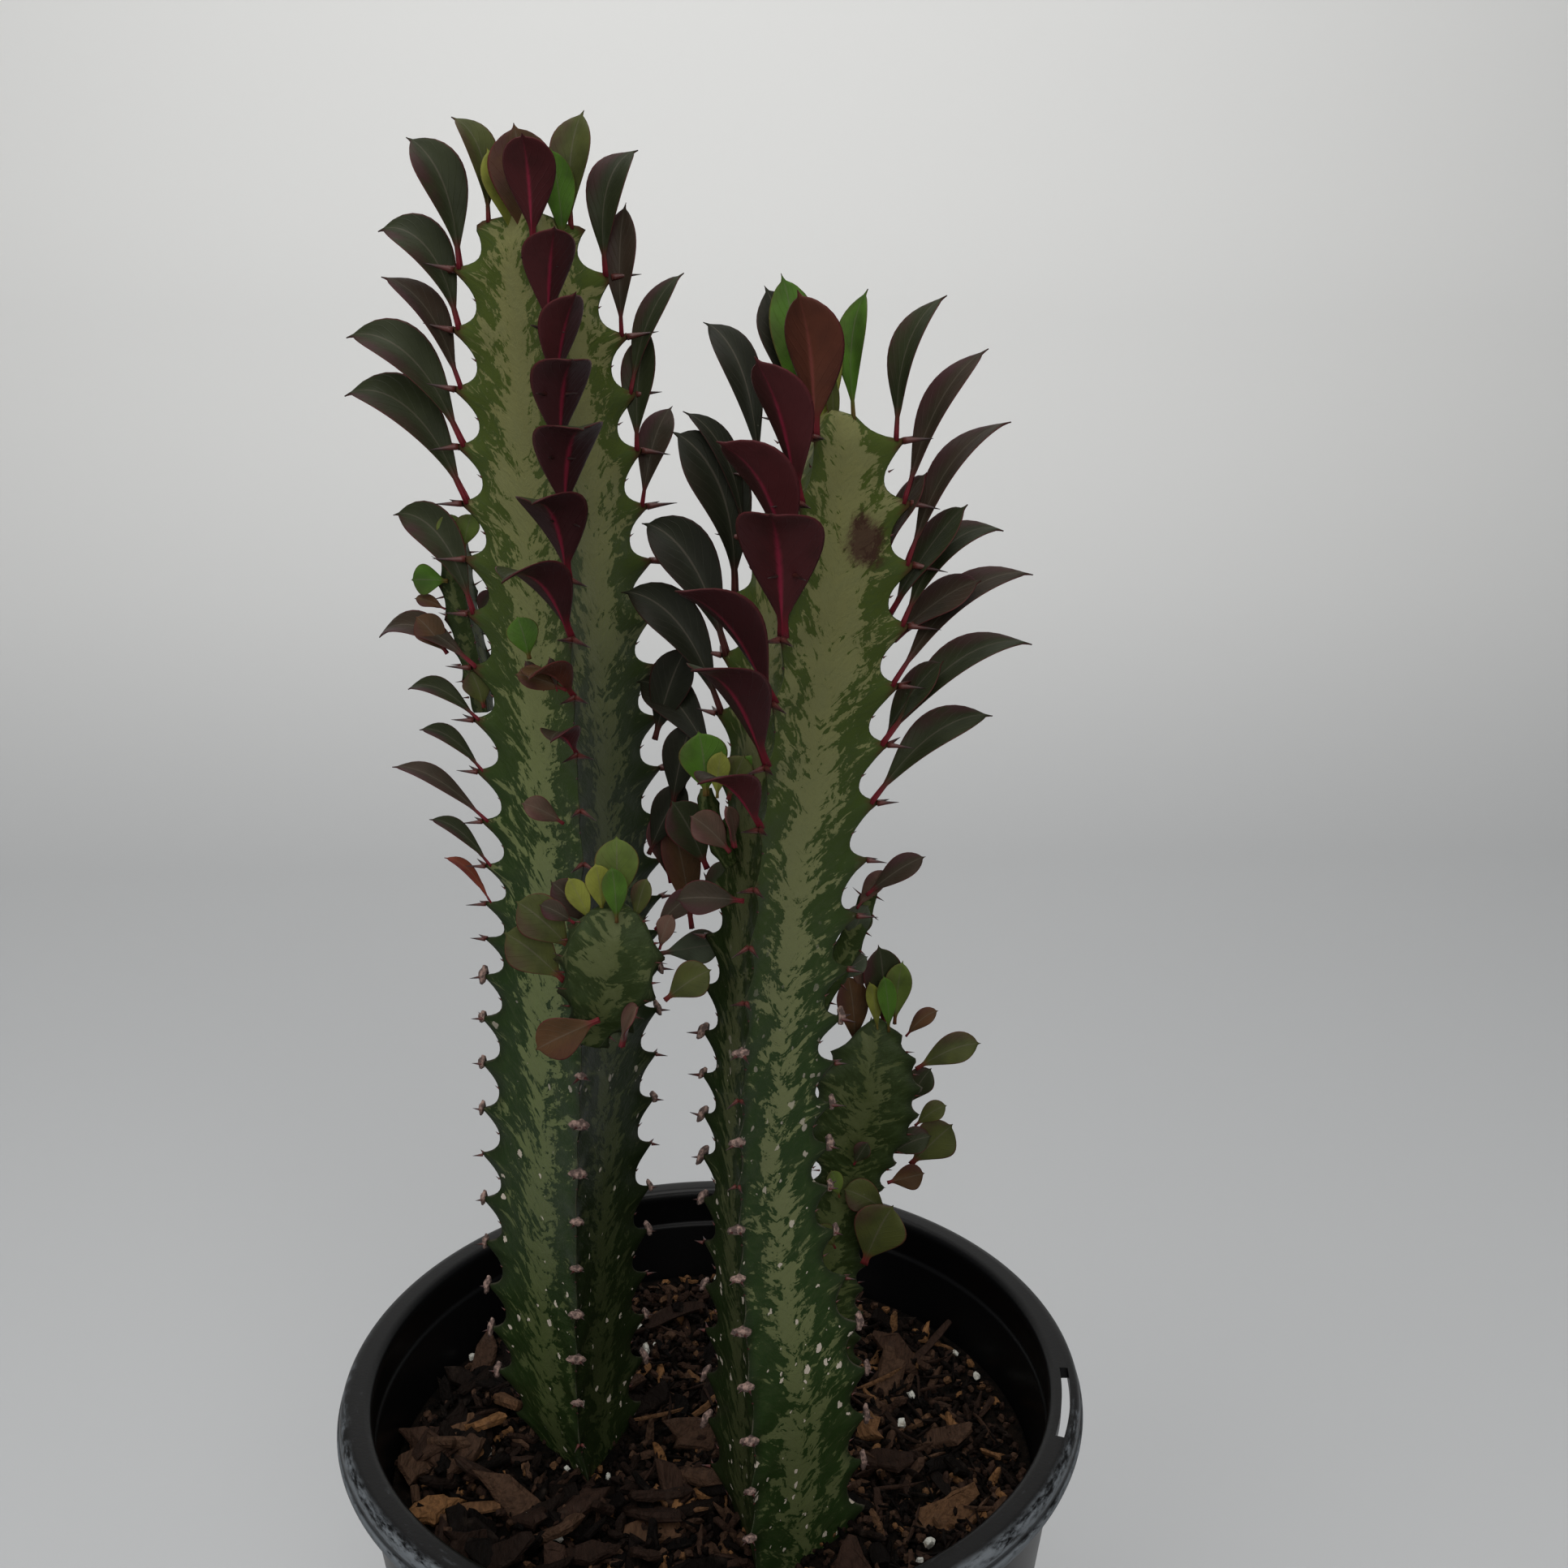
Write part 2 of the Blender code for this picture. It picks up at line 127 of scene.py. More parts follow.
class Sock:
    """A shader socket that takes part in Python arithmetic through Math nodes."""

    def __init__(self, paint: "Paint", socket: bpy.types.NodeSocket) -> None:
        """Keep the socket and the tree that it belongs to."""
        self.paint, self.socket = paint, socket

    def math(self, operation: str, *others: "Sock | float") -> "Sock":
        """Return a Math node's result with this socket as its first value.

        Args:
            operation: the Math node's operation.
            others: the remaining values.

        Returns:
            The node's output.
        """
        values = dict(enumerate((self, *others)))
        return self.paint.node("ShaderNodeMath", {"operation": operation}, values)

    def __add__(self, other: "Sock | float") -> "Sock":
        """Add."""
        return self.math("ADD", other)

    __radd__ = __add__

    def __mul__(self, other: "Sock | float") -> "Sock":
        """Multiply."""
        return self.math("MULTIPLY", other)

    __rmul__ = __mul__

    def __sub__(self, other: "Sock | float") -> "Sock":
        """Subtract."""
        return self.math("SUBTRACT", other)

    def __rsub__(self, other: float) -> "Sock":
        """Subtract this from a number."""
        return self.math("MULTIPLY", -1.0) + other

    def __abs__(self) -> "Sock":
        """Drop the sign."""
        return self.math("ABSOLUTE")

    def fract(self) -> "Sock":
        """Return the part after the whole number."""
        return self.math("FRACT")

    def clip(self) -> "Sock":
        """Keep within 0 and 1."""
        return self.math("MAXIMUM", 0.0).math("MINIMUM", 1.0)

    def ramp(self, low: float, high: float) -> "Sock":
        """Return a smooth step from 0 at low to 1 at high; low may be the larger."""
        flip = low > high
        first, last = (high, low) if flip else (low, high)
        step = self.paint.node("ShaderNodeMapRange", {"interpolation_type": "SMOOTHSTEP"},
                               {0: self, 1: first, 2: last, 3: float(flip), 4: float(not flip)})
        return step


class Paint:
    """Builds one material's nodes."""

    def __init__(self, name: str) -> None:
        """Start a material with only its shader and output."""
        self.material = bpy.data.materials.new(name)
        self.material.use_nodes = True
        self.tree = self.material.node_tree
        self.shader = self.tree.nodes["Principled BSDF"]

    def node(self, kind: str, settings: dict | None = None, values: dict | None = None,
             output: int | str = 0) -> Sock:
        """Add a node.

        Args:
            kind: the node's type.
            settings: its properties, set before its sockets.
            values: values or links by socket name or place.
            output: the output to return.

        Returns:
            The chosen output.
        """
        return Sock(self, add_node(self.tree, kind, settings, values).outputs[output])

    def read(self, name: str, output: str = "Fac") -> Sock:
        """Read a named attribute of the mesh."""
        return self.node("ShaderNodeAttribute", {"attribute_name": name}, output=output)

    def place(self, scale: Colour = (1.0, 1.0, 1.0)) -> Sock:
        """Return object coordinates in metres, stretched by a scale."""
        spot = self.node("ShaderNodeTexCoord", output="Object")
        return self.node("ShaderNodeMapping", None, {"Vector": spot, "Scale": scale})

    def axis(self, number: int) -> Sock:
        """Return one object coordinate in metres: 0 for x, 1 for y, 2 for z."""
        spot = self.node("ShaderNodeTexCoord", output="Object")
        return self.node("ShaderNodeSeparateXYZ", None, {0: spot}, number)

    def noise(self, scale: float, detail: float = 2.0, stretch: Colour = (1.0, 1.0, 1.0),
              rough: float = 0.5, warp: float = 0.0) -> Sock:
        """Return fractal noise from 0 to 1 at a number of lumps per metre."""
        return self.node("ShaderNodeTexNoise", None,
                         {"Vector": self.place(stretch), "Scale": scale, "Detail": detail,
                          "Roughness": rough, "Distortion": warp})

    def mix(self, factor: "Sock | float", first: "Sock | Colour", second: "Sock | Colour",
            blend: str = "MIX") -> Sock:
        """Mix two colours."""
        sides = [(*side, 1.0) if isinstance(side, tuple) else side for side in (first, second)]
        return self.node("ShaderNodeMix", {"data_type": "RGBA", "blend_type": blend},
                         {0: factor, 6: sides[0], 7: sides[1]}, 2)

    def finish(self, colour: "Sock | Colour", roughness: "Sock | float", bump: Sock | None = None,
               depth: float = 0.001, strength: float = 0.5, **constants: float) -> bpy.types.Material:
        """Connect the shader.

        Args:
            colour: base colour.
            roughness: roughness.
            bump: height for a bump, if any.
            depth: the bump's distance in metres.
            strength: the bump's strength.
            constants: other shader values, with _ for spaces.

        Returns:
            The finished material.
        """
        for key, value in (("Base Color", colour), ("Roughness", roughness)):
            if isinstance(value, Sock):
                self.tree.links.new(value.socket, self.shader.inputs[key])
            else:
                self.shader.inputs[key].default_value = (*value, 1.0) if isinstance(value, tuple) else value
        if bump:
            normal = self.node("ShaderNodeBump", None,
                               {"Height": bump, "Distance": depth, "Strength": strength})
            self.tree.links.new(normal.socket, self.shader.inputs["Normal"])
        for key, value in constants.items():
            self.shader.inputs[key.replace("_", " ")].default_value = value
        return self.material


@dataclass(frozen=True)
class PotPlastic:
    """Black moulded plastic, satin, with pale scuffs round the rim."""

    colour: Colour = (0.0018, 0.0018, 0.002)
    scuff: Colour = (0.130, 0.145, 0.160)
    dust: Colour = (0.05, 0.05, 0.05)
    roughness: float = 0.34
    groove_drop: float = 0.0039

    def material(self) -> bpy.types.Material:
        """Return the material."""
        paint = Paint("pot_plastic")
        x, y, z = (paint.axis(number) for number in range(3))
        around = y.math("ARCTAN2", x) * RIM_RADIUS
        out = (x * x + y * y).math("SQRT")
        wrapped = paint.node("ShaderNodeCombineXYZ", None, {0: around * 0.28, 1: z, 2: out})
        streaks = paint.node("ShaderNodeTexNoise", None,
                             {"Vector": wrapped, "Scale": 700.0, "Detail": 5.0, "Roughness": 0.68})
        fine, patches = paint.noise(1100, 3), paint.noise(24, 2)
        lip = out.ramp(RIM_RADIUS - 0.0036, RIM_RADIUS - 0.0014)
        groove = 1.0 - abs(z - (RIM_TOP - self.groove_drop)).ramp(0.0008, 0.0003) * 0.8
        band = lip * z.ramp(RIM_TOP - 0.0085, RIM_TOP - 0.0065) * groove
        front = (y * -1.0 - x * 0.25).ramp(-0.045, 0.075)
        low = z.ramp(RIM_TOP - 0.0005, RIM_TOP - 0.003)
        worn = band * (streaks + patches * 0.30 + front * 0.26 + low * 0.10 - 0.14).ramp(0.62, 0.86)
        top = z.ramp(RIM_TOP - 0.0025, RIM_TOP - 0.0005) * (streaks + front * 0.12).ramp(0.70, 0.90)
        dusty = fine.ramp(0.60, 0.9) * 0.08 + patches.ramp(0.5, 0.8) * 0.03 * (1.0 - band)
        colour = paint.mix(dusty, self.colour, self.dust)
        colour = paint.mix((worn * 0.75 + top * 0.22).clip(), colour, self.scuff)
        rough = (patches - 0.5) * 0.10 + self.roughness + worn * 0.25
        bump = fine * 0.3 + streaks * band * 0.8
        return paint.finish(colour, rough, bump, 0.0003, 0.35, Specular_IOR_Level=0.15)


@dataclass(frozen=True)
class MixEarth:
    """Damp peat and fine bark between the chips, darkened nearly to black as painted shade in the crevices.
    """

    damp_and_shade: Colour = (0.0012, 0.001, 0.0008)
    dry: Colour = (0.007, 0.0045, 0.003)

    def material(self) -> bpy.types.Material:
        """Return the material."""
        paint = Paint("potting_mix")
        coarse, fine = paint.noise(240, 4, rough=0.65), paint.noise(1300, 3)
        # The damp colour is nearly black: real damp peat and painted shade between the chips.
        colour = paint.mix(coarse.ramp(0.35, 0.7), self.damp_and_shade, self.dry)
        return paint.finish(colour, 0.92, coarse + fine * 0.4, 0.0015, 0.9, Specular_IOR_Level=0.05)


@dataclass(frozen=True)
class Bark:
    """Shredded bark: each chip takes its own shade, with grain along it."""

    shades: tuple[tuple[float, Colour], ...] = (
        (0.0, (0.0008, 0.0006, 0.0005)), (0.45, (0.0022, 0.0014, 0.0010)), (0.68, (0.008, 0.0046, 0.0033)),
        (0.84, (0.027, 0.0145, 0.0100)), (0.95, (0.056, 0.031, 0.0190)), (1.0, (0.165, 0.080, 0.032)))
    crack: Colour = (0.005, 0.003, 0.0022)
    bloom: Colour = (0.050, 0.036, 0.028)

    def material(self) -> bpy.types.Material:
        """Return the material."""
        paint = Paint("bark")
        shade = paint.read("shade")
        ramp = paint.tree.nodes.new("ShaderNodeValToRGB")
        while len(ramp.color_ramp.elements) < len(self.shades):
            ramp.color_ramp.elements.new(0.5)
        for element, (stop, colour) in zip(ramp.color_ramp.elements, self.shades):
            element.position, element.color = stop, (*colour, 1.0)
        paint.tree.links.new(shade.socket, ramp.inputs[0])
        grain = paint.noise(700, 4, (1.0, 0.25, 1.6), 0.6, 0.6)
        blotch = paint.noise(190, 3)
        colour = paint.mix(grain.ramp(0.35, 0.75) * 0.55, Sock(paint, ramp.outputs[0]), self.crack)
        colour = paint.mix(blotch.ramp(0.58, 0.8) * 0.35, colour, self.bloom)
        return paint.finish(colour, blotch * 0.3 + 0.6, grain, 0.0010, 0.9, Specular_IOR_Level=0.06)


@dataclass(frozen=True)
class Mineral:
    """White expanded perlite, slightly soiled."""

    clean: Colour = (0.42, 0.42, 0.38)
    dirty: Colour = (0.16, 0.14, 0.11)

    def material(self) -> bpy.types.Material:
        """Return the material."""
        paint = Paint("perlite")
        soiled = paint.noise(420, 3)
        colour = paint.mix(soiled.ramp(0.42, 0.75), self.clean, self.dirty)
        return paint.finish(colour, 0.85, paint.noise(1600, 3), 0.0006, 0.6)


@dataclass(frozen=True)
class StemSkin:
    """Green skin marbled with a pale feathered streak down each face and pale veins to the teeth."""

    name: str = "stem_skin"
    pale: Colour = (0.112, 0.138, 0.052)
    deep: Colour = (0.015, 0.030, 0.008)
    specks: float = 0.0
    open_top: tuple[float, float] = (150.0, 300.0)
    low_shade: float = 0.0
    shaded_face: float = 9.0
    bruises: tuple[tuple[Colour, float], ...] = ()
    top_pale: Colour = (0.142, 0.138, 0.054)
    top_deep: Colour = (0.046, 0.062, 0.013)
    foot_pale: Colour = (0.052, 0.076, 0.018)
    milky: Colour = (0.120, 0.130, 0.066)
    mottle: Colour = (0.034, 0.050, 0.018)
    grainy: Colour = (0.040, 0.048, 0.022)
    blush: Colour = (0.050, 0.018, 0.012)
    margin: Colour = (0.011, 0.015, 0.008)
    corky: Colour = (0.105, 0.086, 0.072)
    bruise: Colour = (0.034, 0.011, 0.012)
    foot_shade: Colour = (0.008, 0.014, 0.003)
    face_shade: Colour = (0.008, 0.011, 0.004)
    speck: Colour = (0.42, 0.37, 0.31)
    cells: float = 330.0

    def feather(self, paint: Paint, slope: float, fine: float, long: float, detail: float,
                seed: float) -> Sock:
        """Return noise drawn out along strokes that run down from the teeth to the middle of a face.

        Args:
            paint: the material being built.
            slope: how steeply the strokes fall.
            fine: lumps per millimetre across a stroke.
            long: lumps per millimetre along it.
            detail: octaves of noise.
            seed: keeps two such noises apart.

        Returns:
            The noise, 0 to 1.
        """
        lane, level = paint.read("lane"), paint.read("level")
        spot = paint.node("ShaderNodeCombineXYZ", None,
                          {0: (level - abs(lane) * slope + lane * 0.2) * fine, 1: lane * long,
                           2: paint.read("face") * 7.3 + seed})
        return paint.node("ShaderNodeTexNoise", None, {"Vector": spot, "Scale": 1.0, "Detail": detail,
                                                       "Roughness": 0.68, "Distortion": 0.8})

    def marbling(self, paint: Paint, stroke: Sock, blot: Sock, grain: Sock) -> tuple[Sock, Sock]:
        """Paint the pale streak, the veins and the dark ground between them.

        Args:
            paint: the material being built.
            stroke: feathered noise along the strokes.
            blot: broad noise.
            grain: fine noise.

        Returns:
            The colour and the pale mask.
        """
        across, turn, above = paint.read("across"), paint.read("turn"), paint.read("level")
        slant = (turn - (1.0 - across) * 0.6 + (stroke - 0.5) * 0.4).fract()
        vein = abs(slant - 0.5).ramp(0.38, 0.47) * across.ramp(0.08, 0.4) * across.ramp(1.0, 0.7)
        rise = above.ramp(*self.open_top)
        streak = across.ramp(0.66, 0.04)
        amount = (streak * 0.40 + vein * 0.22 + (blot - 0.5) * 1.5 + (stroke - 0.5) * 2.0
                  + (grain - 0.5) * 0.6 + rise * 0.20 * across.ramp(1.0, 0.7))
        pale = amount.ramp(0.20, 0.32)
        deep = paint.mix(rise, self.deep, self.top_deep)
        light = paint.mix(rise, self.pale, self.top_pale)
        light = paint.mix(above.ramp(120.0, 0.0) * 0.45, light, self.foot_pale)
        light = paint.mix((blot - 0.35).clip() * 0.8, light, self.milky)
        deep = paint.mix(stroke.ramp(0.42, 0.60) * 0.45, deep, self.mottle)
        colour = paint.mix(pale * 0.94, deep, light)
        return paint.mix(grain.ramp(0.52, 0.72) * 0.22, colour, self.grainy), pale

    def material(self) -> bpy.types.Material:
        """Return the material."""
        paint = Paint(self.name)
        across, turn, above = paint.read("across"), paint.read("turn"), paint.read("level")
        stroke = self.feather(paint, 0.55, 0.40, 0.20, 5.0, 0.0)
        blot = self.feather(paint, 0.3, 0.10, 0.12, 3.0, 3.1)
        grain = self.feather(paint, 0.6, 1.4, 0.7, 3.0, 9.0)
        colour, pale = self.marbling(paint, stroke, blot, grain)
        near = abs((turn + 0.5).fract() - 0.5)
        red = across.ramp(0.93, 0.99) * near.ramp(0.17, 0.06) * above.ramp(120.0, 230.0)
        colour = paint.mix(red * 0.8, colour, self.blush)
        edge = across.ramp(0.80, 1.0) * above.ramp(210.0, 120.0)
        colour = paint.mix(edge * 0.65, colour, self.margin)
        old = across.ramp(0.972, 1.0) * above.ramp(175.0, 90.0) * paint.noise(330, 3).ramp(0.42, 0.62)
        colour = paint.mix(old * 0.55, colour, self.corky)
        for centre, size in self.bruises:
            gap = paint.node("ShaderNodeVectorMath", {"operation": "DISTANCE"},
                             {0: paint.place(), 1: centre}, "Value")
            spot = (gap + (blot - 0.5) * 0.008 + (grain - 0.5) * 0.006).ramp(size, size * 0.5)
            colour = paint.mix(spot * 0.85, colour, self.bruise)
        # Painted shade: the skin is darkened towards the foot, by low_shade, where less light reaches low
        # down.
        colour = paint.mix(above.ramp(170.0, 30.0) * self.low_shade, colour, self.foot_shade)
        # Painted shade: the face of each stem that is turned from the lamps is darkened below its top.
        shaded = abs(paint.read("face") - self.shaded_face).ramp(0.6, 0.4) * above.ramp(250.0, 190.0)
        colour = paint.mix(shaded * 0.55, colour, self.face_shade)
        dots = self.dots(paint) * above.ramp(190.0, 50.0)
        colour = paint.mix(dots, colour, self.speck)
        rough = 0.42 + (blot - 0.5) * 0.16 + old * 0.3
        relief = stroke * 0.7 + grain * 0.15 - pale * 0.15 + dots * 1.1
        return paint.finish(colour, rough, relief, 0.0007, 0.5, Specular_IOR_Level=0.06)

    def dots(self, paint: Paint) -> Sock:
        """Return the mask of white mineral specks."""
        ragged = paint.node("ShaderNodeTexNoise", None, {"Vector": paint.place(), "Scale": 600.0}, "Color")
        shift = paint.node("ShaderNodeVectorMath", {"operation": "SCALE"}, {0: ragged, 3: 0.0022})
        spot = paint.node("ShaderNodeVectorMath", {"operation": "ADD"}, {0: paint.place(), 1: shift})
        near, tint = (paint.node("ShaderNodeTexVoronoi", {"feature": "F1"},
                                 {"Vector": spot, "Scale": self.cells}, output)
                      for output in ("Distance", "Color"))
        pick, size = (paint.node("ShaderNodeSeparateColor", None, {0: tint}, part) for part in (0, 1))
        crowd = paint.noise(28, 1).ramp(0.35, 0.60)
        least = 1.02 - self.specks * 0.14
        chosen = (pick + crowd * self.specks * 0.28).ramp(least, least + 0.01)
        return (size * size * 0.26 + 0.12 - near).ramp(0.0, 0.04) * chosen


@dataclass(frozen=True)
class LeafSkin:
    """Leaf surface: green above, burgundy below, with midrib, veins, margins and a red stalk."""

    cloud_above: Colour = (0.010, 0.012, 0.006)
    cloud_below: Colour = (0.014, 0.007, 0.006)
    midrib_sheen: Colour = (0.070, 0.074, 0.050)
    midrib: Colour = (0.100, 0.084, 0.066)
    vein: Colour = (0.09, 0.09, 0.06)
    outer_blush: Colour = (0.046, 0.011, 0.019)
    margin: Colour = (0.075, 0.014, 0.018)
    stalk: Colour = (0.095, 0.008, 0.014)
    point: Colour = (0.026, 0.009, 0.007)
    fleck: Colour = (0.16, 0.16, 0.13)

    def material(self) -> bpy.types.Material:
        """Return the material."""
        paint = Paint("leaf_skin")
        along, side = paint.read("along"), paint.read("side")
        upper, flush = paint.read("upper"), paint.read("flush")
        top, under = paint.read("tint_top", "Color"), paint.read("tint_under", "Color")
        ridge = paint.read("tint_ridge", "Color")
        off = abs(side)
        cloud, fine = paint.noise(130, 3), paint.noise(620, 3, rough=0.6)
        veins = abs(((along * 9.0 - off * 3.2) + (cloud - 0.5) * 0.8).fract() - 0.5).ramp(0.10, 0.0)
        blade = along.ramp(0.12, 0.3)
        above = paint.mix(cloud.ramp(0.35, 0.75) * 0.5, top, self.cloud_above)
        # Painted sheen: a faint pale grey band along the midrib of the upper face.
        above = paint.mix(off.ramp(0.40, 0.05) * 0.06, above, self.midrib_sheen)
        above = paint.mix(off.ramp(0.055, 0.015) * 0.30, above, self.midrib)
        above = paint.mix(veins * blade * 0.05, above, self.vein)
        below = paint.mix(cloud.ramp(0.4, 0.8) * 0.45, under, self.cloud_below)
        core = (off + along * 0.16 - 0.05 * fine).ramp(0.19, 0.05)
        below = paint.mix(core * (1.0 - along.ramp(0.55, 1.0) * 0.6), below, ridge)
        colour = paint.mix(upper, below, above)
        outer = side.ramp(0.15, 0.75) * along.ramp(0.25, 0.7) * cloud.ramp(0.25, 0.6) * upper
        colour = paint.mix(outer * (flush * flush) * 0.5, colour, self.outer_blush)
        edge = off.ramp(0.90, 0.99) * blade
        colour = paint.mix(edge * 0.60 * flush, colour, self.margin)
        stalk = along.ramp(0.24, 0.06) * flush
        colour = paint.mix(stalk * 0.9, colour, self.stalk)
        colour = paint.mix(along.ramp(0.972, 1.0) * 0.8, colour, self.point)
        flecks = fine.ramp(0.735, 0.76) * paint.noise(60, 1).ramp(0.5, 0.6)
        colour = paint.mix(flecks * 0.25, colour, self.fleck)
        rough = 0.44 + (cloud - 0.5) * 0.24
        bump = cloud * 1.1 + fine * 0.15 - veins * blade * 0.16
        return paint.finish(colour, rough, bump, 0.0005, 0.5, Specular_IOR_Level=0.06)


@dataclass(frozen=True)
class Horn:
    """Spines: red-brown with dark tips."""

    body: Colour = (0.062, 0.014, 0.011)
    point: Colour = (0.009, 0.005, 0.005)

    def material(self) -> bpy.types.Material:
        """Return the material."""
        paint = Paint("spine_horn")
        colour = paint.mix(paint.read("tip").ramp(0.1, 0.8) * 0.85, self.body, self.point)
        return paint.finish(colour, 0.45, Specular_IOR_Level=0.3)


@dataclass(frozen=True)
class Cork:
    """Pinkish tan corky scars on the old teeth."""

    crack: Colour = (0.050, 0.030, 0.025)
    crust: Colour = (0.230, 0.150, 0.125)

    def material(self) -> bpy.types.Material:
        """Return the material."""
        paint = Paint("cork_scar")
        rough = paint.noise(900, 3)
        colour = paint.mix(rough.ramp(0.38, 0.68), self.crack, self.crust)
        return paint.finish(colour, 0.85, rough, 0.0006, 0.8)


def put(name: str, data: bpy.types.ID) -> bpy.types.Object:
    """Return a new object in the scene."""
    made = bpy.data.objects.new(name, data)
    bpy.context.scene.collection.objects.link(made)
    return made


class Batch:
    """Gathers many small surfaces into one mesh."""

    def __init__(self) -> None:
        """Start empty."""
        self.points: list[np.ndarray] = []
        self.faces: list[tuple[int, ...]] = []
        self.values: dict[str, list[np.ndarray]] = {}
        self.count = 0

    def add(self, points: np.ndarray, faces: Iterable[Sequence[int]], **values: np.ndarray) -> None:
        """Add one surface.

        Args:
            points: its points in metres.
            faces: its faces by point number.
            values: per-point values, as numbers or colours.
        """
        self.faces += [tuple(int(k) + self.count for k in face) for face in faces]
        self.points.append(points)
        for key, value in values.items():
            self.values.setdefault(key, []).append(np.asarray(value, dtype=float))
        self.count += len(points)

    def make(self, name: str, material: bpy.types.Material) -> bpy.types.Object:
        """Return the mesh object.

        Args:
            name: the piece's name.
            material: its finish.

        Returns:
            The new object, linked to the scene.
        """
        mesh = bpy.data.meshes.new(name)
        mesh.from_pydata(np.concatenate(self.points).tolist(), [], self.faces)
        for key, parts in self.values.items():
            data = np.concatenate(parts)
            if data.ndim == 1:
                mesh.attributes.new(key, "FLOAT", "POINT").data.foreach_set("value", data)
            else:
                colour = np.ones((len(data), 4))
                colour[:, :3] = data
                mesh.attributes.new(key, "FLOAT_COLOR", "POINT").data.foreach_set("color", colour.ravel())
        mesh.materials.append(material)
        mesh.shade_smooth()
        return put(name, mesh)


def tube_faces(rings: int, sides: int) -> list[tuple[int, ...]]:
    """Return the faces of a closed tube whose ends are capped by one face each.

    Args:
        rings: how many rings of points.
        sides: points in each ring, anticlockwise seen from the far end.

    Returns:
        The faces by point number.
    """
    faces = []
    for low in range(0, (rings - 1) * sides, sides):
        high = low + sides
        faces += [(low + k, low + (k + 1) % sides, high + (k + 1) % sides, high + k) for k in range(sides)]
    faces.append(tuple(reversed(range(sides))))
    faces.append(tuple((rings - 1) * sides + k for k in range(sides)))
    return faces


def fan_faces(first: int, sides: int, centre: int) -> list[tuple[int, int, int]]:
    """Return the triangles that join a ring, by its first point's number, to a centre point."""
    return [(first + k, first + (k + 1) % sides, centre) for k in range(sides)]


def heading(azimuth: float) -> np.ndarray:
    """Return the level direction at an azimuth in degrees, 0 towards -Y and positive towards +X."""
    turn = math.radians(azimuth)
    return np.array((math.sin(turn), -math.cos(turn), 0.0))


def unit(vector: np.ndarray) -> np.ndarray:
    """Return a vector of length one."""
    return vector / np.linalg.norm(vector)


def in_place(points: np.ndarray) -> np.ndarray:
    """Turn millimetres above the mix into metres in the object's frame."""
    return points * MM + np.array((0.0, 0.0, MIX_LEVEL))


class Path:
    """A smooth curve through knots of x, y, height and rib radius."""

    def __init__(self, knots: Sequence[Knot]) -> None:
        """Work out the slopes at the knots."""
        table = np.array(knots, dtype=float)
        self.heights, self.values = table[:, 2], table[:, (0, 1, 3)]
        count = len(knots)
        before, after = np.maximum(np.arange(count) - 1, 0), np.minimum(np.arange(count) + 1, count - 1)
        rise = (self.heights[after] - self.heights[before])[:, None]
        self.slopes = (self.values[after] - self.values[before]) / rise

    def at(self, heights: np.ndarray) -> np.ndarray:
        """Return x, y and rib radius at each height."""
        heights = np.atleast_1d(np.asarray(heights, dtype=float))
        k = np.clip(np.searchsorted(self.heights, heights, side="right") - 1, 0, len(self.heights) - 2)
        span = (self.heights[k + 1] - self.heights[k])[:, None]
        t = np.clip((heights - self.heights[k])[:, None] / span, 0.0, 1.0)
        return ((2 * t**3 - 3 * t**2 + 1) * self.values[k] + (t**3 - 2 * t**2 + t) * span * self.slopes[k]
                + (3 * t**2 - 2 * t**3) * self.values[k + 1] + (t**3 - t**2) * span * self.slopes[k + 1])


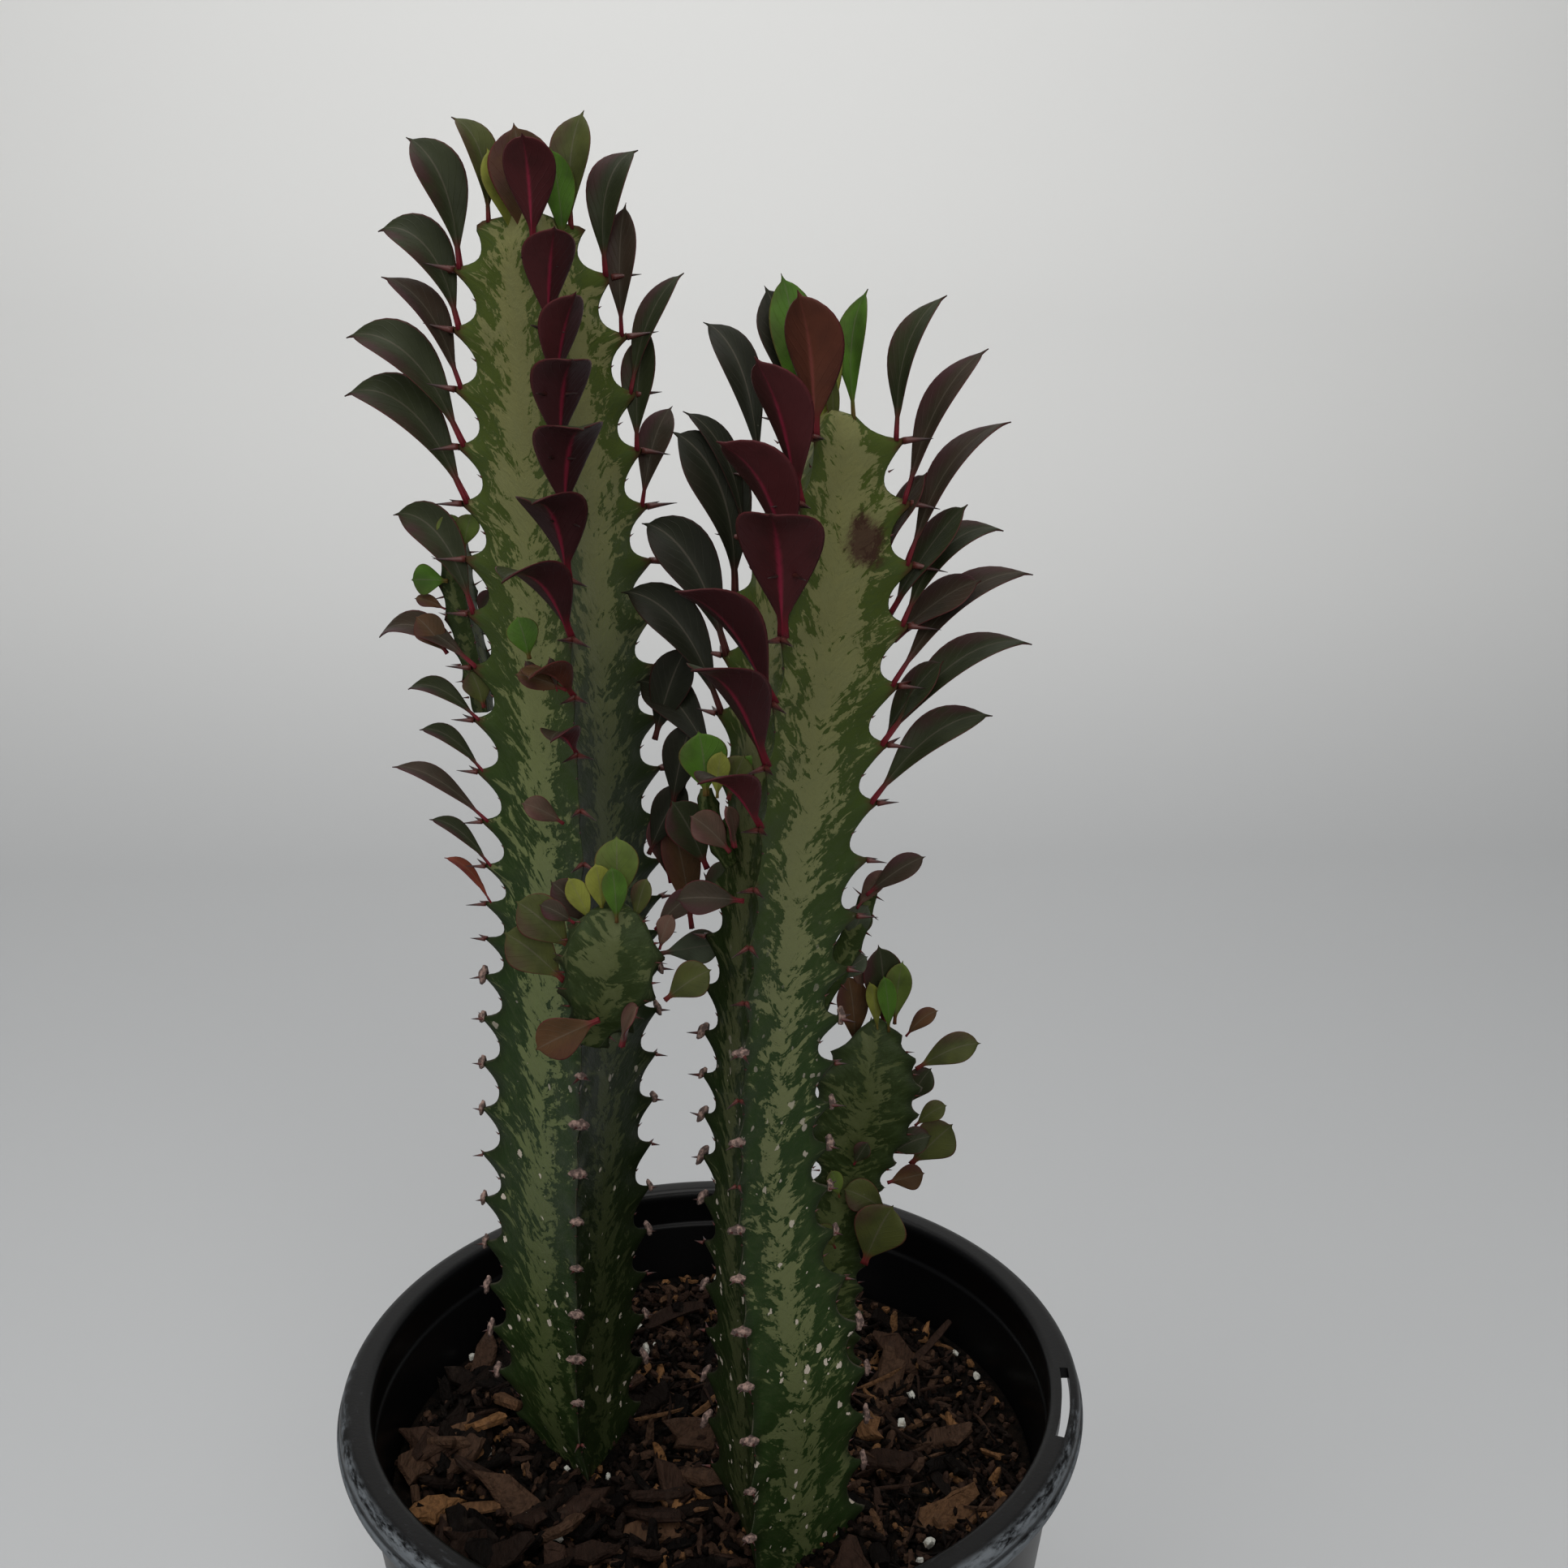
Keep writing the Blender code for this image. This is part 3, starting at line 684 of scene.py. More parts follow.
@dataclass
class Stem:
    """A tall three-ribbed stem with toothed ribs."""

    name: str
    knots: tuple[Knot, ...]
    ribs: dict[str, tuple[float, float]]
    top: float
    pitch: float
    tight: tuple[float, float, float]
    tooth: tuple[float, float, float, float]
    tip: float = 900.0
    tip_fade: float = 11.0
    step: float = 1.0
    sharp: float = 2.2
    proud: float = 1.9
    lift: float = 0.3
    rooted: float = 3.0
    spread: tuple[float, ...] = (0.24, 0.46, 0.64, 0.78, 0.88, 0.95, 0.985)
    path: Path = field(init=False)
    levels: np.ndarray = field(init=False)

    def __post_init__(self) -> None:
        """Lay out the axis and the tooth levels."""
        self.path = Path(self.knots)
        levels = [self.top + 0.8 * self.pitch, self.top]
        spread, level, depth = self.tight
        while levels[-1] > 0:
            levels.append(levels[-1] - self.pitch + depth * math.exp(-((levels[-1] - level) / spread) ** 2))
        self.levels = np.array(levels)

    def tooth_height(self, height: np.ndarray) -> np.ndarray:
        """Return how far a tooth stands out at a height."""
        small, extra, start, over = self.tooth
        grown = small + extra * np.clip((height - start) / over, 0, 1)
        return grown * np.clip((self.tip - height) / self.tip_fade, 0.2, 1)

    def index_at(self, height: np.ndarray) -> np.ndarray:
        """Return the fractional tooth number at a height, counted from the tip."""
        return np.interp(height, self.levels[::-1], np.arange(len(self.levels))[::-1])

    def level_at(self, index: float) -> float:
        """Return the height of a fractional tooth number."""
        k = min(max(int(math.floor(index)), 0), len(self.levels) - 2)
        return float(self.levels[k] + (self.levels[k + 1] - self.levels[k]) * (index - k))

    def tooth_point(self, rib: str, number: float, proud: float) -> tuple[np.ndarray, float]:
        """Return a point on a tooth and the rib's azimuth.

        Args:
            rib: the rib's name.
            number: the tooth's number from the tip.
            proud: how far the point stands out from the tooth's tip.

        Returns:
            The point in millimetres above the mix, and the azimuth in degrees.
        """
        azimuth, offset = self.ribs[rib]
        height = self.level_at(number + offset)
        x, y, radius = self.path.at(height)[0]
        reach = float(self.tooth_height(height)) + proud
        level = height + 0.4 + self.lift * reach
        return np.array((x, y, level)) + heading(azimuth) * (radius + reach), azimuth

    def waves(self, heights: np.ndarray, index: np.ndarray) -> list[np.ndarray]:
        """Return how far each rib's teeth stand out at every height, given the tooth numbers there."""
        size = (self.tooth_height(heights) + self.proud) * np.clip((self.knots[-1][2] - heights) / 4.0, 0, 1)
        size = size * np.clip((heights + 1) / 6, 0, 1)
        waves = []
        for _, offset in sorted(self.ribs.values()):
            phase = index - offset
            away = np.abs(phase - np.round(phase))
            waves.append(size * (1 - 2 * away) ** self.sharp)
        return waves

    def columns(self, heights: np.ndarray, index: np.ndarray, radius: np.ndarray) -> Columns:
        """Lay out the skin's columns round the axis.

        Args:
            heights: the height of each ring.
            index: the tooth number there.
            radius: the rib radius there.

        Returns:
            The columns' points, their places across a face, their tooth phases and their lanes.
        """
        ribs, waves = sorted(self.ribs.values()), self.waves(heights, index)
        steps = [-u for u in reversed(self.spread)] + [0.0] + list(self.spread)
        columns, across, turn, lanes = [], [], [], []
        hollow = 0.055 + 0.02 * np.clip(heights / 150 - 1, 0, 1)
        for k, (azimuth, offset) in enumerate(ribs):
            n = (k + 1) % 3
            next_offset = ribs[n][1]
            middle, way = heading(azimuth + 60), heading(azimuth + 150)
            here, there = heading(azimuth), heading(azimuth + 120)
            crest = (radius + waves[k])[:, None] * here
            crest[:, 2] = waves[k] * self.lift
            columns.append(crest)
            across.append(1.0)
            turn.append(index - offset)
            lanes.append(HALF_FACE * radius)
            for u in steps:
                inward = (0.5 - hollow * math.cos(math.pi * u / 2) ** 2) * radius
                drag = max((abs(u) - 0.70) / 0.30, 0.0) ** 2.4
                wave, towards = (waves[k], here) if u < 0 else (waves[n], there)
                share = (u + 1) / 2
                q = index - (offset + (next_offset - offset) * share)
                swell = 0.35 * np.cos(2 * math.pi * (q + 0.75 * (1 - abs(u)))) * u * u * (1 - abs(u) ** 8)
                column = (inward + swell)[:, None] * middle + (HALF_FACE * u * radius)[:, None] * way
                column = column + (wave * drag)[:, None] * towards
                column[:, 2] = wave * drag * self.lift
                columns.append(column)
                across.append(abs(u))
                turn.append(q)
                lanes.append(HALF_FACE * u * radius)
        return columns, across, turn, lanes

    def surface(self, batch: Batch) -> None:
        """Add the stem's skin to a batch."""
        low, high = self.knots[0][2] - self.rooted, self.knots[-1][2]
        heights = np.append(np.arange(low, high, self.step), high)
        axis = self.path.at(heights)
        columns, across, turn, lanes = self.columns(heights, self.index_at(heights), axis[:, 2])
        grid = np.stack(columns, axis=1)
        grid[:, :, :2] += axis[:, None, :2]
        grid[:, :, 2] += heights[:, None]
        rings, sides = grid.shape[:2]
        wobble = 0.22 * np.sin(grid[:, :, 2] * 0.35 + grid[:, :, 0] * 0.4) * np.cos(grid[:, :, 1] * 0.3)
        grid[:, :, 0] += wobble
        points = np.vstack((grid.reshape(-1, 3), [[axis[-1, 0], axis[-1, 1], high + 1.5]]))
        faces = tube_faces(rings, sides)[:-1] + fan_faces((rings - 1) * sides, sides, len(points) - 1)
        batch.add(in_place(points), faces,
                  across=np.append(np.tile(across, rings), 0.0),
                  turn=np.append(np.stack(turn, axis=1).ravel(), 0.0),
                  lane=np.append(np.stack(lanes, axis=1).ravel(), 0.0),
                  level=np.append(np.repeat(heights, sides), high),
                  face=np.append(np.tile(np.repeat((0.0, 1.0, 2.0), sides // 3), rings), 0.0))


@dataclass
class Shoot:
    """A slender three-ribbed side shoot that follows a leaning path."""

    name: str
    knots: tuple[Knot, ...]
    turn: float
    pitch: float
    tooth: float
    step: float = 0.6

    def frame_at(self, height: float) -> tuple[np.ndarray, np.ndarray, np.ndarray, float]:
        """Return the centre, the two level-ish axes and the rib radius at a height."""
        path = Path(self.knots)
        low, high = self.knots[0][2], self.knots[-1][2]
        x, y, radius = path.at(height)[0]
        a, b = min(height + 0.5, high), max(height - 0.5, low)
        ahead, behind = path.at(a)[0], path.at(b)[0]
        lean = Vector((0, 0, 1)).rotation_difference(
            Vector((ahead[0] - behind[0], ahead[1] - behind[1], a - b)).normalized())
        right, far = (np.array(lean @ Vector(way)) for way in ((1, 0, 0), (0, 1, 0)))
        return np.array((x, y, height)), right, far, radius

    def rib_point(self, rib: int, height: float, proud: float) -> tuple[np.ndarray, np.ndarray]:
        """Return a point on a rib's crest and the direction it faces."""
        centre, right, far, radius = self.frame_at(height)
        level = heading(self.turn - 120 + 120 * rib)
        out = right * level[0] + far * level[1]
        return centre + out * (radius + proud), out

    def surface(self, batch: Batch) -> None:
        """Add the shoot's skin to a batch."""
        low, high = self.knots[0][2], self.knots[-1][2]
        heights = np.append(np.arange(low, high, self.step), high)
        steps = (-0.93, -0.75, -0.45, 0.0, 0.45, 0.75, 0.93)
        rings, across, turn, lanes = [], [], [], []
        for height in heights:
            centre, right, far, radius = self.frame_at(float(height))
            fade = min((high - height) / 3, 1.0) * min((height - low) / 3, 1.0)
            for k in range(3):
                phase = height / self.pitch - 0.33 * k
                away = abs(phase - round(phase))
                wave = self.tooth * fade * (1 - 2 * away) ** 2
                out = heading(self.turn - 120 + 120 * k) * (radius + wave)
                row, middle, way = [out], heading(self.turn - 60 + 120 * k), heading(self.turn + 30 + 120 * k)
                row += [middle * (0.5 + 0.06 * (1 - abs(u))) * radius + way * HALF_FACE * u * radius
                        for u in steps]
                rings += [centre + right * p[0] + far * p[1] for p in row]
                across += [1.0] + [abs(u) for u in steps]
                lanes += [HALF_FACE * radius] + [HALF_FACE * u * radius for u in steps]
                turn += [phase] * (len(steps) + 1)
        sides = 3 * (len(steps) + 1)
        batch.add(in_place(np.array(rings)), tube_faces(len(heights), sides),
                  across=np.array(across), turn=np.array(turn), lane=np.array(lanes),
                  level=np.repeat(heights, sides),
                  face=np.tile(np.repeat((0.0, 1.0, 2.0), sides // 3), len(heights)))


@dataclass(frozen=True)
class Leaf:
    """One fleshy folded leaf: where it grows, how it is held and how it is coloured."""

    base: tuple[float, float, float]
    azimuth: float
    length: float
    rise: float
    width: float
    roll: float = 0.0
    bend: float = 30.0
    tone: Tone = Tone.DARK
    fold: float = 28.0
    twist: float = 0.0
    round: float = 0.78
    stalk: float = 0.12
    bend_power: float = 2.2
    margin_thick: float = 0.10
    blade_thick: float = 0.30
    keel_thick: float = 0.45

    def half_widths(self, stations: np.ndarray) -> np.ndarray:
        """Return half the leaf's width at shares of its length."""
        blade = np.clip((stations - self.stalk * 0.6) / (0.955 - self.stalk * 0.6), 0, 1)
        half = np.sin(math.pi * blade**1.65) ** self.round
        half = np.maximum(half, np.where(stations < 0.5, 0.15 - 0.2 * stations, 0.0))
        half = np.maximum(half, np.where(stations > 0.9, 0.10 * (1.0 - stations) / 0.06, 0.0).clip(0, 0.10))
        return np.maximum(half, 0.012) * self.width / 2

    def spine(self, stations: np.ndarray) -> tuple[np.ndarray, np.ndarray, np.ndarray]:
        """Return the middle line's points, and the side and face directions along it."""
        upward = np.array((0.0, 0.0, 1.0))
        outward = heading(self.azimuth)
        across = np.cross(upward, outward)
        start = self.rise + self.bend / (self.bend_power + 1)
        angles = np.radians(start - self.bend * stations**self.bend_power)
        steps = np.diff(stations, prepend=0.0) * self.length
        middle = np.radians(start - self.bend * ((stations + np.roll(stations, 1)) / 2) ** self.bend_power)
        middle[0] = angles[0]
        spine = np.cumsum((outward[None] * np.cos(middle)[:, None] + upward[None] * np.sin(middle)[:, None])
                          * steps[:, None], axis=0) + np.array(self.base)
        normal = upward[None] * np.cos(angles)[:, None] - outward[None] * np.sin(angles)[:, None]
        tilt = np.radians(self.roll + self.twist * stations)[:, None]
        side = across[None] * np.cos(tilt) + normal * np.sin(tilt)
        return spine, side, normal * np.cos(tilt) - across[None] * np.sin(tilt)

    def surface(self, batch: Batch) -> None:
        """Add the leaf to a batch as one closed solid."""
        stations = np.concatenate((np.linspace(0, 0.9, 19), (0.925, 0.95, 0.97, 0.985, 1.0)))
        spine, side, face = self.spine(stations)
        half = self.half_widths(stations)
        fold = np.radians(self.fold * (1 - 0.5 * stations**2))
        lanes = np.array((-1, -0.93, -0.75, -0.5, -0.25, -0.08, 0.08, 0.25, 0.5, 0.75, 0.93, 1))
        rings = []
        for low in (False, True):
            order = lanes[1:-1][::-1] if low else lanes
            for v in order:
                thick = (self.blade_thick * (1 - abs(v) ** 3) + self.margin_thick
                         + self.keel_thick * np.exp(-(v / 0.2) ** 2) * (1 - stations))
                thick = thick * np.minimum(1, half / 0.8 + 0.3)
                ruffle = 0.25 * abs(v) ** 2 * np.sin(stations * 9 + self.azimuth)
                lift = half * (abs(v) ** 1.25) * np.sin(fold) - 0.05 * half * v**2 + ruffle * (half > 1)
                level = lift + (-thick if low else thick)
                rings.append(spine + side * (half * v * np.cos(fold))[:, None] + face * level[:, None])
        grid = np.stack(rings, axis=1)
        count, sides = grid.shape[:2]
        sheet = np.concatenate((lanes, lanes[1:-1][::-1]))
        upper = np.concatenate((np.ones(len(lanes)), np.zeros(len(lanes) - 2)))
        upper[0] = upper[len(lanes) - 1] = 0.6
        total = count * sides
        colours = {key: np.tile(self.tone.value[k], (total, 1))
                   for k, key in enumerate(("tint_top", "tint_under", "tint_ridge"))}
        batch.add(in_place(grid.reshape(-1, 3)), tube_faces(count, sides),
                  along=np.repeat(stations, sides), side=np.tile(sheet, count), upper=np.tile(upper, count),
                  flush=np.full(total, self.tone.value[3]), **colours)


LeafRow = tuple[str, float, float, float, float, float, float, float, Tone]
FreeLeaf = tuple[float, float, float, float, float, float, float, float, float, Tone]


class Nodes:
    """Builds one Geometry Nodes tree with named inputs."""

    def __init__(self, name: str) -> None:
        """Start a tree with geometry in and out."""
        self.tree = bpy.data.node_groups.new(name, "GeometryNodeTree")
        self.tree.interface.new_socket("Geometry", in_out="INPUT", socket_type="NodeSocketGeometry")
        self.tree.interface.new_socket("Geometry", in_out="OUTPUT", socket_type="NodeSocketGeometry")
        self.start = self.tree.nodes.new("NodeGroupInput")
        self.end = self.tree.nodes.new("NodeGroupOutput")

    def ask(self, name: str, kind: str) -> bpy.types.NodeSocket:
        """Add a named input and return its socket."""
        self.tree.interface.new_socket(name, in_out="INPUT", socket_type=f"NodeSocket{kind}")
        return self.start.outputs[name]

    def node(self, kind: str, settings: dict | None = None, values: dict | None = None,
             output: int | str = 0) -> bpy.types.NodeSocket:
        """Add a node.

        Args:
            kind: the node's type.
            settings: its properties, set before its sockets.
            values: values or links by socket name or place.
            output: the output to return.

        Returns:
            The chosen output.
        """
        return add_node(self.tree, kind, settings, values).outputs[output]

    def close(self, geometry: bpy.types.NodeSocket, material: bpy.types.NodeSocket) -> bpy.types.NodeTree:
        """Realize the instances, set the material and connect the output.

        Args:
            geometry: the instances.
            material: the material input.

        Returns:
            The finished tree.
        """
        real = self.node("GeometryNodeRealizeInstances", None, {0: geometry})
        dressed = self.node("GeometryNodeSetMaterial", None, {"Geometry": real, "Material": material})
        self.tree.links.new(dressed, self.end.inputs[0])
        return self.tree


def plain_mesh(source: bpy.types.Object, name: str, **inputs: object) -> bpy.types.Object:
    """Run an object's modifiers and return the result as a plain mesh object.

    Args:
        source: the object with its modifiers; it is removed.
        name: the new piece's name.
        inputs: values of the Geometry Nodes inputs, with _ for spaces.

    Returns:
        The new piece.
    """
    for modifier in source.modifiers:
        if modifier.type == "NODES":
            sockets = {item.name: item.identifier for item in modifier.node_group.interface.items_tree
                       if item.in_out == "INPUT"}
            for key, value in inputs.items():
                modifier[sockets[key.replace("_", " ")]] = value
    source.update_tag()
    graph = bpy.context.evaluated_depsgraph_get()
    mesh = bpy.data.meshes.new_from_object(source.evaluated_get(graph), preserve_all_data_layers=True,
                                           depsgraph=graph)
    mesh.name = name
    bpy.data.objects.remove(source)
    return put(name, mesh)


def placed_tree() -> bpy.types.NodeTree:
    """Return a tree that stands one shape on every point, aimed and sized by the point's own values."""
    build = Nodes("placed_shapes")
    shape, material = build.ask("Shape", "Object"), build.ask("Material", "Material")
    length, girth = build.ask("Length", "Float"), build.ask("Girth", "Float")
    aim = build.node("GeometryNodeInputNamedAttribute", {"data_type": "FLOAT_VECTOR"}, {0: "aim"})
    size = build.node("GeometryNodeInputNamedAttribute", {"data_type": "FLOAT"}, {0: "size"})
    thick = build.node("GeometryNodeInputNamedAttribute", {"data_type": "FLOAT"}, {0: "thick"})
    long = build.node("ShaderNodeMath", {"operation": "MULTIPLY"}, {0: size, 1: length})
    wide = build.node("ShaderNodeMath", {"operation": "MULTIPLY"}, {0: thick, 1: girth})
    scale = build.node("ShaderNodeCombineXYZ", None, {0: wide, 1: wide, 2: long})
    turn = build.node("FunctionNodeAlignRotationToVector", {"axis": "Z"}, {"Vector": aim})
    points = build.node("GeometryNodeMeshToPoints", None, {0: build.start.outputs[0]})
    model = build.node("GeometryNodeObjectInfo", None, {"Object": shape}, "Geometry")
    placed = build.node("GeometryNodeInstanceOnPoints", None,
                        {"Points": points, "Instance": model, "Rotation": turn, "Scale": scale})
    return build.close(placed, material)


def strewn_tree() -> bpy.types.NodeTree:
    """Return a tree that strews a choice of shapes over a surface with random turns, sizes and shades."""
    build = Nodes("strewn_shapes")
    shapes, material = build.ask("Shapes", "Collection"), build.ask("Material", "Material")
    density, seed = build.ask("Density", "Float"), build.ask("Seed", "Int")
    smallest, largest = build.ask("Smallest", "Float"), build.ask("Largest", "Float")
    tilt, lift = build.ask("Tilt", "Float"), build.ask("Lift", "Float")
    mask_name = build.ask("Mask", "String")
    mask = build.node("GeometryNodeInputNamedAttribute", {"data_type": "FLOAT"}, {0: mask_name})
    masked = build.node("ShaderNodeMath", {"operation": "MULTIPLY"}, {0: density, 1: mask})
    strewn = build.node("GeometryNodeDistributePointsOnFaces", None,
                        {"Mesh": build.start.outputs[0], "Density": masked, "Seed": seed})
    back = build.node("ShaderNodeMath", {"operation": "MULTIPLY"}, {0: tilt, 1: -1.0})
    low = build.node("ShaderNodeCombineXYZ", None, {0: back, 1: back, 2: 0.0})
    high = build.node("ShaderNodeCombineXYZ", None, {0: tilt, 1: tilt, 2: 2 * math.pi})
    turn = build.node("FunctionNodeRandomValue", {"data_type": "FLOAT_VECTOR"},
                      {0: low, 1: high, "Seed": seed})
    spin = build.node("FunctionNodeEulerToRotation", None, {0: turn})
    size = build.node("FunctionNodeRandomValue", {"data_type": "FLOAT"},
                      {2: smallest, 3: largest, "Seed": seed}, 1)
    raised = build.node("ShaderNodeCombineXYZ", None, {2: lift})
    shifted = build.node("GeometryNodeSetPosition", None, {"Geometry": strewn, "Offset": raised})
    choice = build.node("GeometryNodeCollectionInfo", None,
                        {"Collection": shapes, "Separate Children": True, "Reset Children": True})
    placed = build.node("GeometryNodeInstanceOnPoints", None,
                        {"Points": shifted, "Instance": choice, "Pick Instance": True, "Rotation": spin,
                         "Scale": size})
    tone = build.node("FunctionNodeRandomValue", {"data_type": "FLOAT"}, {2: 0.0, 3: 1.0, "Seed": seed}, 1)
    toned = build.node("GeometryNodeStoreNamedAttribute", {"data_type": "FLOAT", "domain": "INSTANCE"},
                       {"Geometry": placed, "Name": "shade", "Value": tone})
    return build.close(toned, material)


def dressed(obj: bpy.types.Object, slot: str, *nodes: str) -> bpy.types.Object:
    """Tie a finished piece to the body and hide the nodes that it stands for.

    Args:
        obj: the piece.
        slot: not used.
        nodes: the CAD nodes that it replaces.

    Returns:
        The piece.
    """
    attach(obj, "root")
    if nodes:
        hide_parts(*nodes)
    LOG.info("%s: %d faces", obj.name, len(obj.data.polygons))
    return obj


@dataclass
class Pot:
    """Round moulded pot with a rolled rim, a stacking ledge and a slot for a plant tag."""

    profile: tuple[tuple[float, float], ...] = (
        (0.0, 0.0), (0.0712, 0.0), (0.0733, 0.0020), (0.0934, 0.1610), (0.0937, 0.1700), (0.0941, 0.1748),
        (0.0972, 0.1748), (0.0977, 0.1740), (0.0979, 0.1712), (0.0986, 0.1706), (0.0996, 0.1709),
        (0.1000, 0.1721), (0.0999, 0.1732), (0.0992, 0.1739), (0.0992, 0.1748), (0.0990, 0.1762),
        (0.0981, 0.1774), (0.0966, 0.1780), (0.0925, 0.1780), (0.0912, 0.1772), (0.0907, 0.1755),
        (0.0912, 0.1665), (0.0903, 0.1655), (0.0698, 0.0045), (0.0680, 0.0030), (0.0, 0.0030))
    sides: int = 224
    slot_radius: float = 0.0953
    slot_width: float = 0.0022
    slot_from: float = math.radians(-23.3)
    slot_to: float = math.radians(-5.8)
    slot_steps: int = 24
    slot_deep: float = 0.0045
    slot_over: float = 0.0015
    corner_radius: float = 0.0012
    sharp_angle: float = math.radians(38)

    def rounded(self) -> list[tuple[float, float]]:
        """Return the profile with its corners eased."""
        points = [Vector(p) for p in self.profile]
        eased = [tuple(points[0])]
        for before, corner, after in zip(points, points[1:], points[2:]):
            near = min((before - corner).length, (after - corner).length) * 0.42
            near = min(near, self.corner_radius)
            a = corner + (before - corner).normalized() * near
            b = corner + (after - corner).normalized() * near
            eased += [tuple(a * (1 - t) ** 2 + corner * 2 * t * (1 - t) + b * t * t)
                      for t in (0.0, 0.33, 0.67, 1.0)]
        return eased + [tuple(points[-1])]

    def build(self) -> bpy.types.Object:
        """Turn the wall and cut the slot."""
        eased = self.rounded()
        body = eased[1:-1]
        turns = np.arange(self.sides) * 2 * math.pi / self.sides
        rings = [np.stack((r * np.cos(turns), r * np.sin(turns), np.full(self.sides, z)), axis=1)
                 for r, z in body]
        points = np.vstack((*rings, [[0, 0, eased[0][1]], [0, 0, eased[-1][1]]]))
        faces = tube_faces(len(body), self.sides)[:-2]
        last, top = len(points) - 2, (len(body) - 1) * self.sides
        faces += [(last, (k + 1) % self.sides, k) for k in range(self.sides)]
        faces += [(last + 1, top + k, top + (k + 1) % self.sides) for k in range(self.sides)]
        batch = Batch()
        batch.add(points, faces)
        wall = batch.make("pot_wall", PotPlastic().material())
        cutter = self.cutter()
        cut = wall.modifiers.new("tag_slot", "BOOLEAN")
        cut.operation, cut.solver, cut.object = "DIFFERENCE", "EXACT", cutter
        pot = plain_mesh(wall, "nursery_pot")
        bpy.data.objects.remove(cutter)
        pot.data.set_sharp_from_angle(angle=self.sharp_angle)
        return dressed(pot, "pot_plastic", "pot")

    def cutter(self) -> bpy.types.Object:
        """Return the curved bar that cuts the tag slot."""
        rows = []
        for k in range(self.slot_steps + 1):
            angle = self.slot_from + (self.slot_to - self.slot_from) * k / self.slot_steps
            near, far = (self.slot_radius + side * self.slot_width / 2 for side in (-1, 1))
            low, high = RIM_TOP - self.slot_deep, RIM_TOP + self.slot_over
            rows.append([(r * math.cos(angle), r * math.sin(angle), z)
                         for r, z in ((near, low), (near, high), (far, high), (far, low))])
        batch = Batch()
        batch.add(np.array(rows).reshape(-1, 3), tube_faces(self.slot_steps + 1, 4))
        return batch.make("slot_cutter", bpy.data.materials[0])


